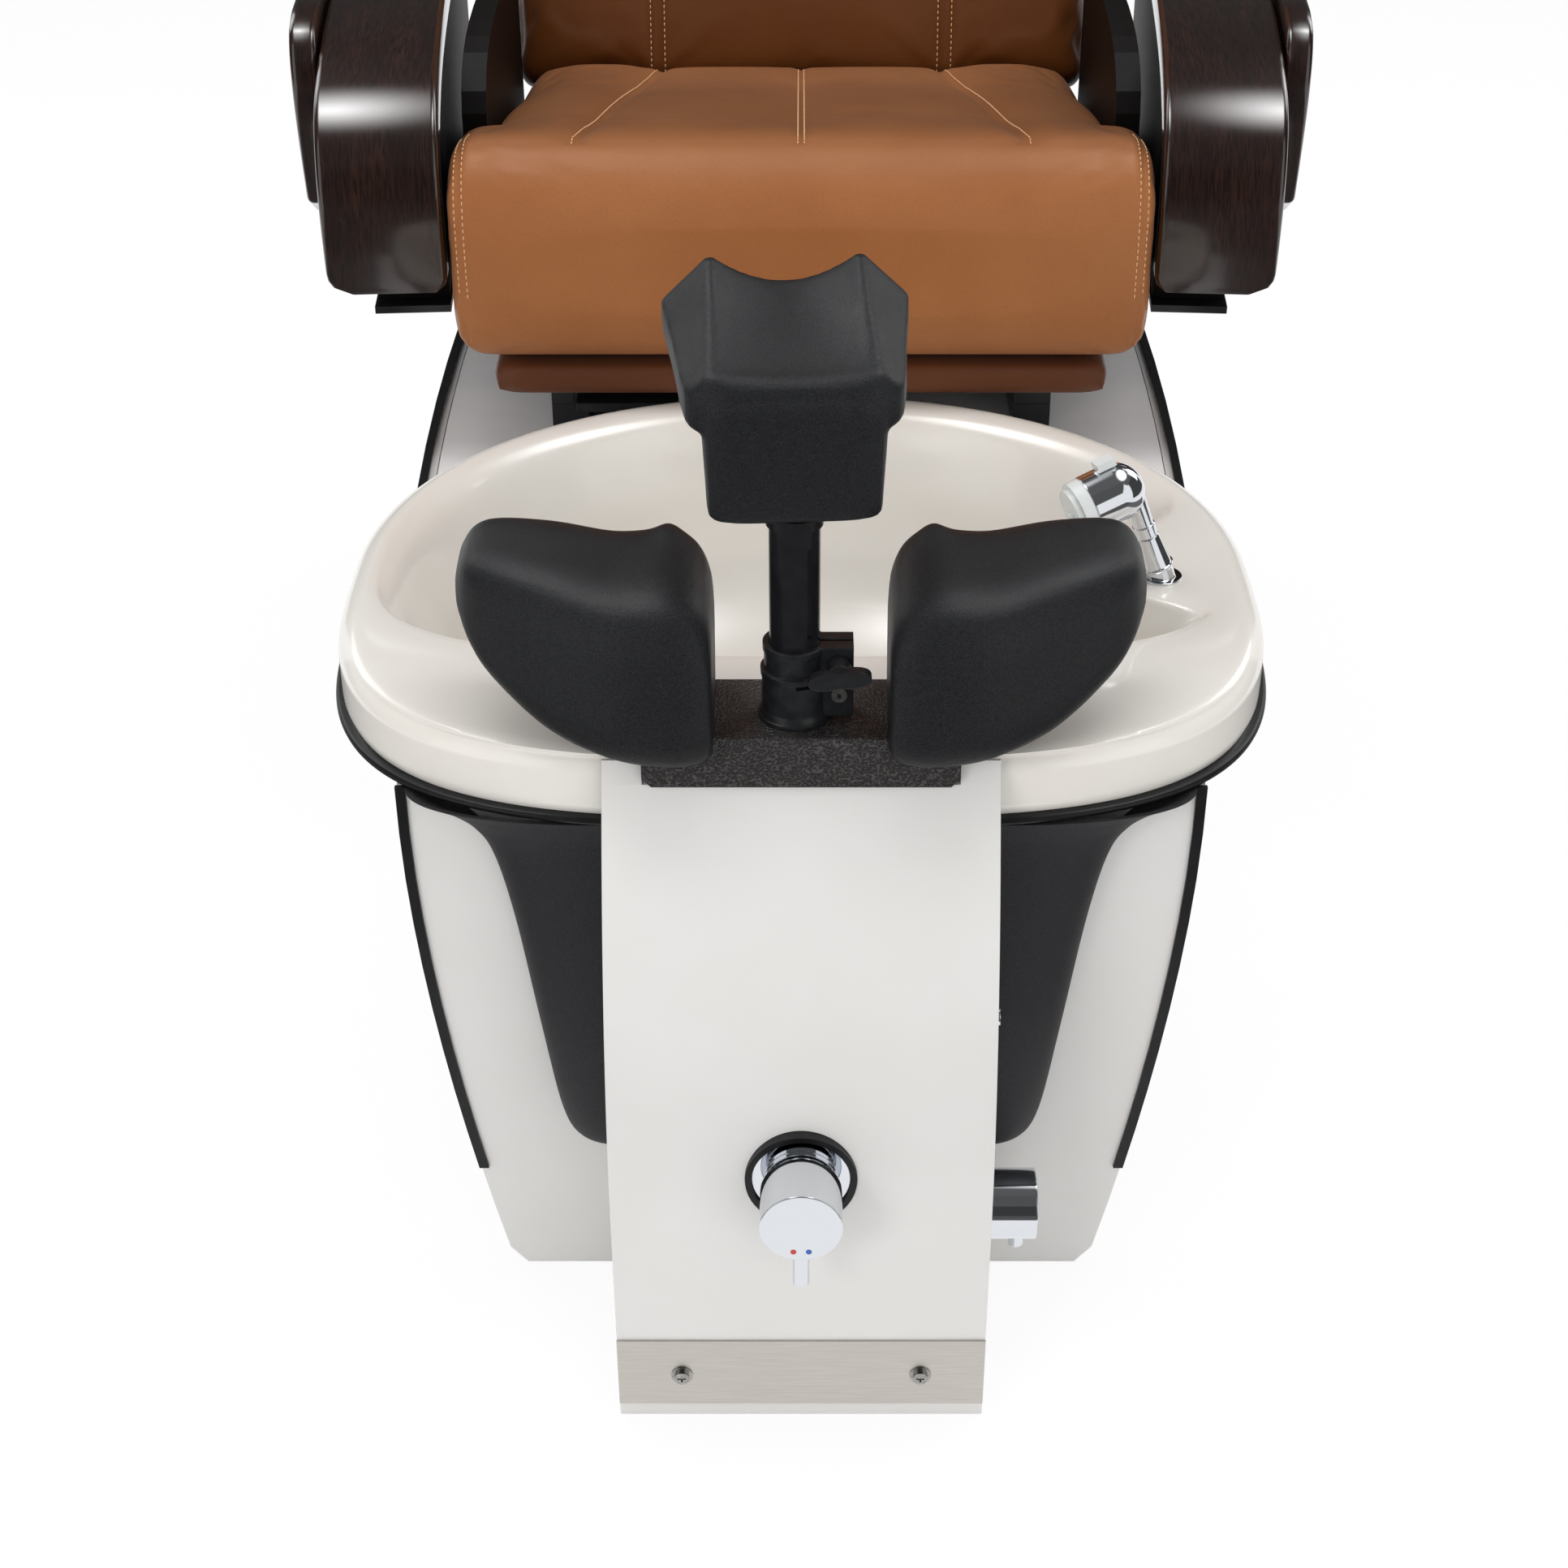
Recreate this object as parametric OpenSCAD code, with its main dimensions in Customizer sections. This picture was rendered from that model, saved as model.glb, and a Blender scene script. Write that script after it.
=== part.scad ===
// Pedicure spa chair: a cabinet with a drop-in foot basin, a column with the
// water controls, a post-mounted footrest, and a sliding, reclining seat with
// lift-up wooden arms.
// Millimetres. +Z is up and the front of the chair faces -Y. The origin lies
// on the floor, under the middle of the base plate's length.

/* [Cabinet] */
// Distance from the origin to the basin rim's front edge, towards the front
front_reach = 620; // [600:1:640]
// Distance from the basin rim's front edge back to the front board's face
board_inset = 52; // [46:1:58]
// Distance from the origin to the cabinet's rear face
rear_reach = 726; // [700:1:750]
// Half width of the cabinet at the front board
front_half = 270; // [262:1:276]
// Half width of the cabinet at its widest
wide_half = 325; // [318:1:332]
// Height of the cabinet's top face
deck_z = 428; // [420:1:436]
// How far the sides draw in at the floor, as a share of the half width
side_draw = 0.2; // [0.15:0.01:0.22]
// Thickness of the cabinet's boards
board_t = 14; // [12:1:16]
// Thickness of the side panels
side_t = 12; // [10:1:14]
// Thickness of the base plate
base_t = 18; // [15:1:22]
// Width of the black edge trim
trim_w = 7; // [5:1:9]
// How far the edge trim stands proud
trim_h = 3; // [2:0.5:4]
// Height of the edge trim's lower end
trim_z = 96; // [80:1:110]

/* [Basin] */
// Height of the rim above the rim gasket
rim_h = 46; // [42:1:50]
// Width of the basin rim
rim_w = 660; // [650:1:670]
// Length of the basin rim in front of its widest line
rim_fore = 290; // [284:1:296]
// Length of the basin rim behind its widest line
rim_aft = 310; // [304:1:316]
// Depth of the bowl below the rim's top
bowl_depth = 180; // [160:1:195]
// Width of the front ledge, from the rim's edge to the bowl
ledge_w = 134; // [126:1:140]
// Wall of the basin
basin_t = 6; // [5:0.5:7]
// Thickness of the rim gasket
gasket_t = 6; // [4:0.5:8]
// How far the rim gasket shows outside the rim
gasket_lip = 5; // [3:0.5:7]
// Radius of the drain hole
drain_r = 24; // [20:1:28]
// How far the spray shelf stands into the bowl, as a share of the half width
shelf_in = 0.22; // [0.2:0.01:0.24]

/* [Column] */
// Width of the column
column_w = 255; // [249:1:261]
// How far the column's foot stands in front of the rim's front edge
column_reach = 102; // [96:1:108]
// Thickness of the curved front panel
panel_t = 5; // [4:0.5:6]
// Thickness of the column's side walls
wall_t = 10; // [8:1:12]
// Height of the kickplate's lower edge
kick_z = 12; // [8:1:16]
// Height of the kickplate
kick_h = 60; // [50:1:70]
// Thickness of the kickplate
kick_t = 1.5; // [1:0.25:2]
// Spacing of the kickplate's screws
kick_pitch = 166; // [150:1:180]
// Radius of the kickplate screw's shank
kick_screw_r = 2.5; // [2:0.25:3]
// Height of the black skirt's lower edge
skirt_z = 150; // [140:1:160]
// Wall of the black skirt
skirt_t = 4; // [3:0.5:5]

/* [Water controls] */
// Height of the mixer's axis
mixer_z = 215; // [205:1:225]
// Outer radius of the mixer's black ring
ring_r = 37; // [36:0.5:39]
// Radius of the mixer's handle
handle_r = 27; // [25:0.5:28]
// Distance from the column to the mixer handle's face
handle_out = 48; // [44:1:52]
// Turning radius of the mixer's sleeve
sleeve_r = 17; // [15:0.5:18]
// Radial running clearance of turning parts
run_gap = 0.05; // [0.03:0.01:0.08]
// Height of the diverter's axis
diverter_z = 122; // [116:1:128]
// Distance of the diverter's axis behind the column's foot
diverter_back = 84; // [80:1:88]
// Radius of the diverter's handle
diverter_r = 25; // [22:0.5:27]
// How far the diverter's handle stands off the column
diverter_out = 38; // [34:1:42]
// Height of the air button's axis
button_z = 290; // [284:1:296]
// Radius of the air button's housing
button_r = 13; // [12:0.5:15]

/* [Spray] */
// Distance of the spray from the chair's middle
spray_x = 262; // [259:1:265]
// Lean of the spray's stem towards the bowl, in degrees
spray_lean = 20; // [16:1:24]
// How far the spray head is turned towards the front, in degrees
spray_turn = 18; // [10:1:26]
// Radius of the spray's stem
stem_r = 7.5; // [7:0.25:8]
// Distance along the stem from the shelf to the spray head's axis
spray_h = 80; // [76:1:90]
// Radius of the spray head
spray_r = 21.5; // [20:0.5:23]

/* [Footrest] */
// Width of the footrest plate
plate_w = 203; // [197:1:209]
// Length of the footrest plate along the chair
plate_l = 76; // [72:1:80]
// Thickness of the footrest plate's lip and top
plate_t = 6; // [5:0.5:7]
// Height of the footrest plate over the rim
plate_h = 22; // [20:1:24]
// Radius of the footrest post
post_r = 16; // [15:0.5:17]
// Distance of the post's axis behind the rim's front edge
post_back = 20; // [18:1:23]
// How far the post stands off the chair's middle
post_x = -4; // [-6:1:0]
// Turn of the centre pad on its post, in degrees
pad_turn = 4; // [0:1:6]
// Height of the post's collar above the plate
collar_h = 53; // [50:1:56]
// Wall of the post's collar
collar_t = 3.5; // [3:0.25:4.5]
// Length of the post below the collar's top, at rest
post_down = 230; // [220:1:240]
// Height of the centre pad's underside above the rim
pad_z = 165; // [160:1:170]

/* [Seat] */
// Width of the seat cushion
seat_w = 568; // [560:1:570]
// Height of the seat cushion's underside
seat_z = 516; // [510:1:522]
// Height of the seat cushion's crest
seat_top = 703; // [696:1:710]
// Distance of the seat cushion's nose in front of the origin
seat_nose = 76; // [72:1:80]
// Length of the seat cushion
seat_l = 452; // [445:1:455]
// Height of the slide rails
rail_h = 22; // [20:1:25]
// Distance between the slide rails' middles
rail_pitch = 400; // [380:1:420]
// Thickness of the pad under the seat cushion
under_t = 32; // [29:1:35]

/* [Back] */
// Distance of the recline axis behind the origin
hinge_y = 420; // [416:1:424]
// Height of the recline axis
hinge_z = 545; // [540:1:550]
// Lean of the backrest from upright, in degrees
lean = 14; // [12:0.5:16]
// How much the back cushion is narrower than the seat cushion, on each side
back_inset = 13; // [11:0.5:16]
// Length of the back cushion
back_l = 800; // [780:1:820]
// Radius of the recline pins
pin_r = 8; // [7:0.5:9]

/* [Arms] */
// Width of an arm
arm_w = 97; // [92:1:99]
// Gap between the seat cushion and an arm
arm_gap = 2.5; // [2:0.5:4]
// Splay of the arms towards the rear, in degrees
arm_splay = 4; // [3:0.5:5]
// Thickness of an arm's bent wood
arm_t = 30; // [26:1:32]
// Height of the arm's lower front end
arm_z = 578; // [574:1:582]
// Thickness of the plate under an arm
arm_plate_t = 6; // [5:0.5:8]
// Distance of the arm's pivot behind the origin
pivot_y = 455; // [450:1:460]
// Height of the arm's pivot
pivot_z = 748; // [746:1:750]

/* [Hidden] */

$fn = 48;
eps = 0.01;
// Gap between hard pieces that only lie beside each other
touch = 0.3;
// Gap between soft pieces and their neighbours
soft_gap = 0.5;

// Colours
pearl = [0.87, 0.85, 0.81];
shell_white = [0.86, 0.85, 0.84];
soft_black = [0.15, 0.15, 0.16];
leather = [0.65, 0.4, 0.26];
wood = [0.2, 0.12, 0.1];
chrome = [0.8, 0.81, 0.83];
steel = [0.72, 0.71, 0.68];

// ---- Helpers ----

function spow(v, e) = sign(v) * pow(abs(v), e);
function total(list) = list * [for (v = list) 1];
function middle(ring) = [for (k = [0 : 2]) total([for (p = ring) p[k]]) / len(ring)];
function reversed(list) = [for (i = [len(list) - 1 : -1 : 0]) list[i]];

// Cubic curve from a to d with handles b and c, as n + 1 points
function curve(a, b, c, d, n) = [
    for (i = [0 : n])
        let (t = i / n, s = 1 - t)
        s * s * s * a + 3 * s * s * t * b + 3 * s * t * t * c + t * t * t * d
];

// Smooth interpolation through a list of rows, with the given steps per row
function smooth_rows(rows, steps) = [
    for (i = [0 : len(rows) - 2], k = [0 : steps - 1])
        let (
            t = k / steps,
            p0 = rows[max(i - 1, 0)],
            p1 = rows[i],
            p2 = rows[i + 1],
            p3 = rows[min(i + 2, len(rows) - 1)]
        )
        p1 + 0.5 * t * (p2 - p0)
            + t * t * (p0 - 2.5 * p1 + 2 * p2 - 0.5 * p3)
            + t * t * t * (1.5 * (p1 - p2) + 0.5 * (p3 - p0)),
    rows[len(rows) - 1]
];

// Closed solid through a list of rings with equal point counts, which may run
// either way: the faces are turned so that they look outward
module skin(rings) {
    n = len(rings[0]);
    m = len(rings);
    points = [
        for (ring = rings) each ring,
        middle(rings[0]),
        middle(rings[m - 1])
    ];
    side = [
        for (j = [0 : m - 2], i = [0 : n - 1])
            let (a = j * n + i, b = j * n + (i + 1) % n)
            each [[a, b, b + n], [a, b + n, a + n]]
    ];
    first = [for (i = [0 : n - 1]) [m * n, (i + 1) % n, i]];
    last = [for (i = [0 : n - 1]) [m * n + 1, (m - 1) * n + i, (m - 1) * n + (i + 1) % n]];
    faces = concat(side, first, last);
    inward = total([for (f = faces) points[f[0]] * cross(points[f[1]], points[f[2]])]) > 0;
    polyhedron(points, inward ? [for (f = faces) reversed(f)] : faces, convexity = 8);
}

// Thin curved sheet between two grids of points
module sheet(outer, inner) {
    skin([for (i = [0 : len(outer) - 1]) concat(outer[i], reversed(inner[i]))]);
}

// A flat outline in the YZ plane, extruded along X from x0 to x1
module along_x(outline, x0, x1) {
    translate([x0, 0, 0])
        rotate([90, 0, 90])
            linear_extrude(x1 - x0)
                polygon(outline);
}

// A flat outline in the XZ plane, extruded along Y from y0 to y1
module along_y(outline, y0, y1) {
    translate([0, y1, 0])
        rotate([90, 0, 0])
            linear_extrude(y1 - y0)
                polygon(outline);
}

module rod_x(r, x0, x1) {
    translate([x0, 0, 0]) rotate([0, 90, 0]) cylinder(r = r, h = x1 - x0);
}

module rod_y(r, y0, y1) {
    translate([0, y0, 0]) rotate([-90, 0, 0]) cylinder(r = r, h = y1 - y0);
}

module block(low, high) {
    translate(low) cube(high - low);
}

// ---- Cabinet ----

board_y = -front_reach + board_inset;
widest_y = board_y + 773;
rim_top = deck_z + gasket_t + rim_h;
rim_low = deck_z + gasket_t;
bulkhead_y = rim_aft + rim_fore - front_reach + 10;

// Share of the half width that the side keeps at height z
function side_share(z) = 1 - side_draw * pow(max(0, 1 - z / (deck_z - 33)), 1.7);

// Half width of the cabinet along its length, at full height
function cabinet_half(y) =
    y < widest_y
        ? front_half + (wide_half - front_half) * (1 - pow(1 - (y - board_y) / (widest_y - board_y), 2))
        : wide_half - 30 * pow((y - widest_y) / (rear_reach - widest_y), 2);

side_levels = [base_t / 6, 60, 120, 180, 240, 300, 350, 390, deck_z - touch];
side_stations = [for (i = [0 : 12]) i / 12];

function side_grid(inset) = [
    for (s = side_stations)
        let (y = board_y + board_t + touch + s * (rear_reach - 2 * board_t - 2 * touch - board_y))
        [for (z = side_levels) [cabinet_half(y) * side_share(z) - inset, y, z]]
];

module base_plate() {
    n = 12;
    y0 = board_y + board_t + touch;
    y1 = rear_reach - board_t - touch;
    right = [
        for (i = [0 : n])
            let (y = y0 + (y1 - y0) * i / n)
            [cabinet_half(y) * side_share(0) - side_t - 1.5, y]
    ];
    left = [for (p = reversed(right)) [-p[0], p[1]]];
    color("burlywood")
        linear_extrude(base_t)
            polygon(concat(right, left));
}

// Outline of an upright board, as wide as the cabinet there less an inset
function board_outline(y, inset, z0, z1, corner = 0) =
    let (
        levels = [z0, z0 + 15, 60, 120, 180, 240, 300, 350, 390, z1],
        right = [
            for (z = levels)
                [cabinet_half(y) * side_share(z) - inset - (z == z0 ? corner : 0), z]
        ]
    )
    concat(right, [for (p = reversed(right)) [-p[0], p[1]]]);

module front_board() {
    color(shell_white)
        difference() {
            along_y(board_outline(board_y, 0, 1, deck_z - touch, 9), board_y, board_y + board_t);
            water_holes(board_y - 1, board_y + board_t + 1);
        }
}

module side_panel() {
    color(shell_white)
        sheet(side_grid(0), side_grid(side_t));
}

module left_side_panel() {
    mirror([1, 0, 0]) side_panel();
}

module right_side_panel() {
    side_panel();
}

// Height and side places of the pipes that run to the rear
drain_pipe_z = 90;
drain_pipe_r = 19;
spigot_r = 20;
spigot_l = 40;
water_pipe_z = 60;
water_pipe_x = 60;
water_pipe_r = 9.5;
inlet_r = 10.5;
inlet_l = 24;
pipe_gap = 1;

module water_holes(y0, y1) {
    for (s = [-1, 1])
        translate([s * water_pipe_x, 0, water_pipe_z]) rod_y(water_pipe_r + pipe_gap, y0, y1);
}

module pipe_holes(y0, y1) {
    translate([0, 0, drain_pipe_z]) rod_y(drain_pipe_r + pipe_gap, y0, y1);
    water_holes(y0, y1);
}

deck_t = 16;
deck_low = deck_z - touch - deck_t;

module mid_bulkhead() {
    color("burlywood")
        difference() {
            along_y(
                board_outline(bulkhead_y, side_t + 2.5, base_t, deck_low),
                bulkhead_y,
                bulkhead_y + board_t
            );
            pipe_holes(bulkhead_y - 1, bulkhead_y + board_t + 1);
        }
}

module rear_cover() {
    color(shell_white)
        difference() {
            along_y(board_outline(rear_reach, 0, 1, deck_z - touch), rear_reach - board_t, rear_reach);
            pipe_holes(rear_reach - board_t - 1, rear_reach + 1);
            for (i = [0 : 5])
                translate([-150, rear_reach - board_t - 1, 290 + 12 * i])
                    cube([300, board_t + 2, 5]);
        }
}

// Plan outline of the rim, changed by an offset
function rim_plan(n, grow) = oval(n, rim_w / 2 + grow, rim_fore + grow, rim_aft + grow, 3.2, 2.1);

// Oval with its own front and rear lengths and roundness, around the origin
function oval(n, half, fore, aft, ef, ea) = [
    for (i = [0 : n - 1])
        let (a = 360 * i / n, e = sin(a) < 0 ? ef : ea)
        [half * spow(cos(a), 2 / e), (sin(a) < 0 ? fore : aft) * spow(sin(a), 2 / e)]
];

rim_mid = -front_reach + rim_fore;
bowl_fore = rim_fore - ledge_w;
bowl_aft = rim_aft - 34;
bowl_half = rim_w / 2 - 27;

module deck() {
    n = 14;
    y0 = rim_mid + 90;
    y1 = rear_reach - board_t - touch;
    right = [
        for (i = [0 : n])
            let (y = y0 + (y1 - y0) * i / n)
            [cabinet_half(y) - side_t - 0.8, y]
    ];
    left = [for (p = reversed(right)) [-p[0], p[1]]];
    color(shell_white)
        difference() {
            translate([0, 0, deck_low])
                linear_extrude(deck_t)
                    polygon(concat(right, left));
            translate([0, rim_mid, deck_low - 1])
                linear_extrude(deck_t + 2)
                    polygon(oval(40, bowl_half - 21, bowl_fore, bowl_aft - 4, 3.2, 2.1));
        }
}

// Black edge strips: up the front board's edges and along the deck's edges
module edge_trim() {
    levels = [for (i = [0 : 9]) trim_z + (deck_z - touch - trim_z) * i / 9];
    trim_y = rim_mid + 0.38 * rim_aft;
    stations = [for (i = [0 : 10]) trim_y + (rear_reach - trim_y) * i / 10];
    color(soft_black)
        for (s = [0, 1]) mirror([s, 0, 0]) {
            skin([
                for (z = levels)
                    let (x = front_half * side_share(z) + 1)
                    [
                        [x - trim_w, board_y - trim_h, z], [x, board_y - trim_h, z],
                        [x, board_y, z], [x - trim_w, board_y, z]
                    ]
            ]);
            difference() {
                skin([
                    for (y = stations)
                        let (x = cabinet_half(y) + 1)
                        [
                            [x, y, deck_z], [x - trim_w, y, deck_z],
                            [x - trim_w, y, deck_z + trim_h], [x, y, deck_z + trim_h]
                        ]
                ]);
                translate([0, rim_mid, deck_z - 1])
                    linear_extrude(trim_h + 2)
                        polygon(rim_plan(48, gasket_lip + touch));
            }
        }
}

// ---- Basin ----

bowl_z = rim_top - bowl_depth;
basin_n = 60;
shelf_angle = -3;
shelf_spread = 17;
spray_y = rim_mid - 32;
shelf_z = rim_top - 4;

// One ring of the basin: half width, fore and aft reach, height, roundness of
// the front, and how much of the spray shelf it takes part in
function basin_ring(half, fore, aft, z, ef, shelf = 0) =
    let (plan = oval(basin_n, half, fore, aft, ef, 2.1))
    [
        for (i = [0 : basin_n - 1])
            let (
                a = 360 * i / basin_n,
                off = (a > 180 ? a - 360 : a) - shelf_angle,
                draw = 1 - shelf * shelf_in * exp(-pow(off / shelf_spread, 4))
            )
            [plan[i][0] * draw, rim_mid + plan[i][1] * draw, z]
    ];

// The bowl's wall, widened by an outward step for the underside
function bowl_wall(step) = [
    basin_ring(40, 40, 40, bowl_z - step, 2),
    basin_ring(150, 70, 130, bowl_z + 2 - step, 2.2),
    basin_ring(205 + step, 100 + step, 185 + step, bowl_z + 12 - step, 2.4, 0.2),
    basin_ring(238 + step, 124 + step, 222 + step, bowl_z + 38 - step, 2.6, 0.5),
    basin_ring(255 + step, 136 + step, 240 + step, bowl_z + 75, 2.8, 0.75),
    basin_ring(bowl_half - 35 + step, bowl_fore - 12 + step, bowl_aft - 24 + step, bowl_z + 120, 3, 0.9),
    basin_ring(bowl_half - 19 + step, bowl_fore - 6 + step, bowl_aft - 14 + step, rim_top - 28, 3.2, 1),
    basin_ring(bowl_half - 6 + step, bowl_fore - 3 + step, bowl_aft - 6 + step, rim_top - 12 - step / 2, 3.2, 1)
];

function rim_ring(inset, z) =
    basin_ring(rim_w / 2 - inset, rim_fore - inset, rim_aft - inset, z, 3.2);

module basin() {
    over = [
        basin_ring(bowl_half + 2, bowl_fore + 1, bowl_aft, shelf_z, 3.2, 1),
        basin_ring(bowl_half + 7, bowl_fore + 6, bowl_aft + 6, rim_top - 0.5, 3.2),
        rim_ring(14, rim_top),
        rim_ring(5, rim_top - 5),
        rim_ring(0, rim_top - 16),
        rim_ring(0, rim_low + 6),
        rim_ring(2, rim_low),
        rim_ring(2 + 2 * basin_t, rim_low),
        rim_ring(2 + 2 * basin_t, rim_top - 16),
        rim_ring(4 + 2 * basin_t, rim_top - basin_t - 1),
        basin_ring(bowl_half + 10, bowl_fore + 12, bowl_aft + 12, rim_top - basin_t - 1, 3.2)
    ];
    color(pearl)
        difference() {
            skin(concat(bowl_wall(0), over, reversed(bowl_wall(basin_t))));
            translate([0, rim_mid, bowl_z - 20]) cylinder(r = drain_r, h = 40);
            at_spray() translate([0, 0, -24]) cylinder(r = bush_r + touch, h = 40);
            translate([spray_x, spray_y, shelf_z + 1.2]) cylinder(r = bush_foot_r + touch, h = 10);
            translate([post_x, post_y, rim_low]) cylinder(r = post_r + 3, h = rim_h + 10);
            translate([0, rim_mid - bowl_fore, jet_z]) rod_y(jet_r, -25, 50);
            for (s = [-1, 1])
                translate([s * plate_bolt_x, plate_bolt_y, rim_low])
                    cylinder(r = bolt_r + touch, h = rim_h + 10);
        }
}

module rim_gasket() {
    color(soft_black)
        difference() {
            translate([0, rim_mid, deck_z])
                linear_extrude(gasket_t - touch / 2)
                    polygon(rim_plan(48, gasket_lip));
            translate([0, rim_mid, deck_z - 1])
                linear_extrude(gasket_t + 2)
                    polygon(oval(48, bowl_half - 19, bowl_fore + 2, bowl_aft - 2, 3.2, 2.1));
            block(
                [-column_w / 2 - touch, -front_reach - 40, deck_z - 1],
                [column_w / 2 + touch, board_y - 1, deck_z + gasket_t + 1]
            );
        }
}

// Black skirt on either side of the column: it flares out under the rim.
// Rows are height, half width and reach in front of the board.
function skirt_rows() = [
    [skirt_z - 4, 142, 14],
    [skirt_z + 2, 163, 41],
    [skirt_z + 20, 173, 51],
    [skirt_z + 90, 184, 51],
    [deck_z - 98, 197, 47],
    [deck_z - 45, 209, 45],
    [deck_z - 22, 223, 45],
    [deck_z - 8, 243, 47],
    [deck_z - 0.5, 264, 49]
];

function skirt_line(row, inset) = [
    for (i = [0 : 10])
        let (a = 9 * i, x0 = column_w / 2 + touch)
        [
            x0 + max(1, row[1] - inset - x0) * spow(sin(a), 2 / 2.3),
            board_y - touch - max(1, row[2] - inset) * spow(cos(a), 2 / 2.3),
            row[0]
        ]
];

module skirt() {
    rows = smooth_rows(skirt_rows(), 2);
    color(soft_black)
        sheet(
            [for (row = rows) skirt_line(row, 0)],
            [for (row = rows) skirt_line(row, skirt_t)]
        );
}

module right_skirt() {
    skirt();
}

module left_skirt() {
    mirror([1, 0, 0]) skirt();
}

// ---- Column ----

// Point at a distance in front of the rim's front edge
function front_point(reach, z) = [-front_reach - reach, z];
function column_curve() = curve(
    front_point(0.5, rim_top - 1),
    front_point(30, rim_top - 50),
    front_point(column_reach - 6, rim_top - 150),
    front_point(column_reach, 180),
    14
);

// Column outline behind the front surface by a step, down to height z0
function column_front(step, z0) = concat(
    [for (p = column_curve()) p + [step * 1.1, -step * 0.4]],
    [front_point(column_reach, z0) + [step, 0]]
);

rim_room_z = deck_z - touch;

module rim_room() {
    block(
        [-column_w, -front_reach - touch, rim_room_z],
        [column_w, board_y + 100, rim_top + 20]
    );
}

mixer_y = -front_reach - column_reach + 3;
diverter_y = -front_reach - column_reach + diverter_back;
button_y = -front_reach - 20;

module front_panel() {
    outline = concat(column_front(0, 0), reversed(column_front(panel_t, 0)));
    color(shell_white)
        difference() {
            along_x(outline, -column_w / 2, column_w / 2);
            rim_room();
            block(
                [-plate_w / 2 - touch, plate_y0 - touch, lip_z - touch],
                [plate_w / 2 + touch, -front_reach + 4, rim_top + 10]
            );
            translate([0, 0, mixer_z]) rod_y(ring_r + touch, mixer_y - 30, mixer_y + 40);
            kick_screw_holes();
        }
}

module column_walls() {
    outline = concat(
        column_front(panel_t + touch, 0),
        [[board_y - touch, 0], [board_y - touch, rim_top]]
    );
    color(shell_white)
        for (s = [-1, 1])
            difference() {
                along_x(outline, s > 0 ? column_w / 2 - wall_t : -column_w / 2,
                    s > 0 ? column_w / 2 : wall_t - column_w / 2);
                rim_room();
                if (s > 0) {
                    translate([0, diverter_y, diverter_z]) rod_x(valve_r + touch, 0, column_w);
                    translate([0, button_y, button_z]) rod_x(switch_r + touch, 0, column_w);
                }
            }
}

kick_y = -front_reach - column_reach;
kick_mid_z = kick_z + kick_h / 2 - 2;

module kick_screw_holes() {
    for (s = [-1, 1])
        translate([s * kick_pitch / 2, 0, kick_mid_z])
            rod_y(kick_screw_r + touch, kick_y - 10, kick_y + 20);
}

module kickplate() {
    color(steel)
        difference() {
            block([-column_w / 2, kick_y - kick_t, kick_z], [column_w / 2, kick_y, kick_z + kick_h]);
            kick_screw_holes();
        }
}

// Two pan-head screws with washers, through the kickplate
module kickplate_screws() {
    washer_r = 7.5;
    washer_t = 1.2;
    head_r = 5.2;
    head_h = 3;
    color(chrome)
        for (s = [-1, 1])
            translate([s * kick_pitch / 2, kick_y - kick_t, kick_mid_z]) {
                rod_y(washer_r, -washer_t, 0);
                difference() {
                    rod_y(head_r, -washer_t - head_h, -washer_t + eps);
                    for (turn = [0, 90])
                        rotate([0, turn, 0])
                            block([-3, -washer_t - head_h - 1, -0.6], [3, -washer_t - 1.5, 0.6]);
                }
                rod_y(kick_screw_r, -washer_t, 16);
            }
}

// ---- Mixer: its axis lies along Y, its handle faces the front ----

gasket_wall = 4;
lever_r = 5.5;
lever_l = 25;
tilt_out = 20;
stub_r = 14;
tilt_pin_r = 3;
tilt_pin_l = 23.5;
handle_back = 12;
cavity_r = 22.5;

module at_mixer() {
    translate([0, mixer_y, mixer_z]) children();
}

module mixer_gasket() {
    color(soft_black)
        at_mixer() difference() {
            rod_y(ring_r, -2.5, 14);
            rod_y(ring_r - gasket_wall, -4, 16);
        }
}

module mixer_escutcheon() {
    color(chrome)
        at_mixer() difference() {
            union() {
                rod_y(ring_r - gasket_wall - touch, 0, 3);
                rod_y(sleeve_r + 7, -4, 1);
            }
            rod_y(sleeve_r + 4, -6, 5);
        }
}

module mixer_body() {
    color("darkgoldenrod")
        at_mixer() difference() {
            union() {
                rod_y(sleeve_r + 7.5, 3 + touch, 62);
                rod_y(ring_r - gasket_wall - touch, 3 + touch, 9);
                for (s = [-1, 1])
                    translate([0, 40, 0]) rod_x(9, s > 0 ? 0 : -42, s > 0 ? 42 : 0);
            }
            rod_y(sleeve_r + run_gap, 0, 30);
        }
}

module mixer_sleeve() {
    color(chrome)
        at_mixer() {
            rod_y(sleeve_r, -4, 24);
            rod_y(sleeve_r + 3.5, -7, 3);
            rod_y(stub_r, -tilt_out - 6, 0);
            translate([0, -tilt_out, 0]) rod_x(tilt_pin_r, -tilt_pin_l, tilt_pin_l);
        }
}

module mixer_handle() {
    color(chrome)
        at_mixer() difference() {
            union() {
                rod_y(handle_r, -handle_out, -handle_back);
                translate([0, -handle_out + lever_r + 1, -handle_r - lever_l])
                    cylinder(r = lever_r, h = lever_l + 8);
            }
            rod_y(cavity_r, -tilt_out - 14, -handle_back + 1);
            translate([0, -tilt_out, 0])
                rod_x(tilt_pin_r + run_gap, -tilt_pin_l - touch, tilt_pin_l + touch);
        }
}

// ---- Diverter and air button, on the column's right wall ----

valve_r = 15;
spindle_r = 6;
column_x = column_w / 2;

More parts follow.
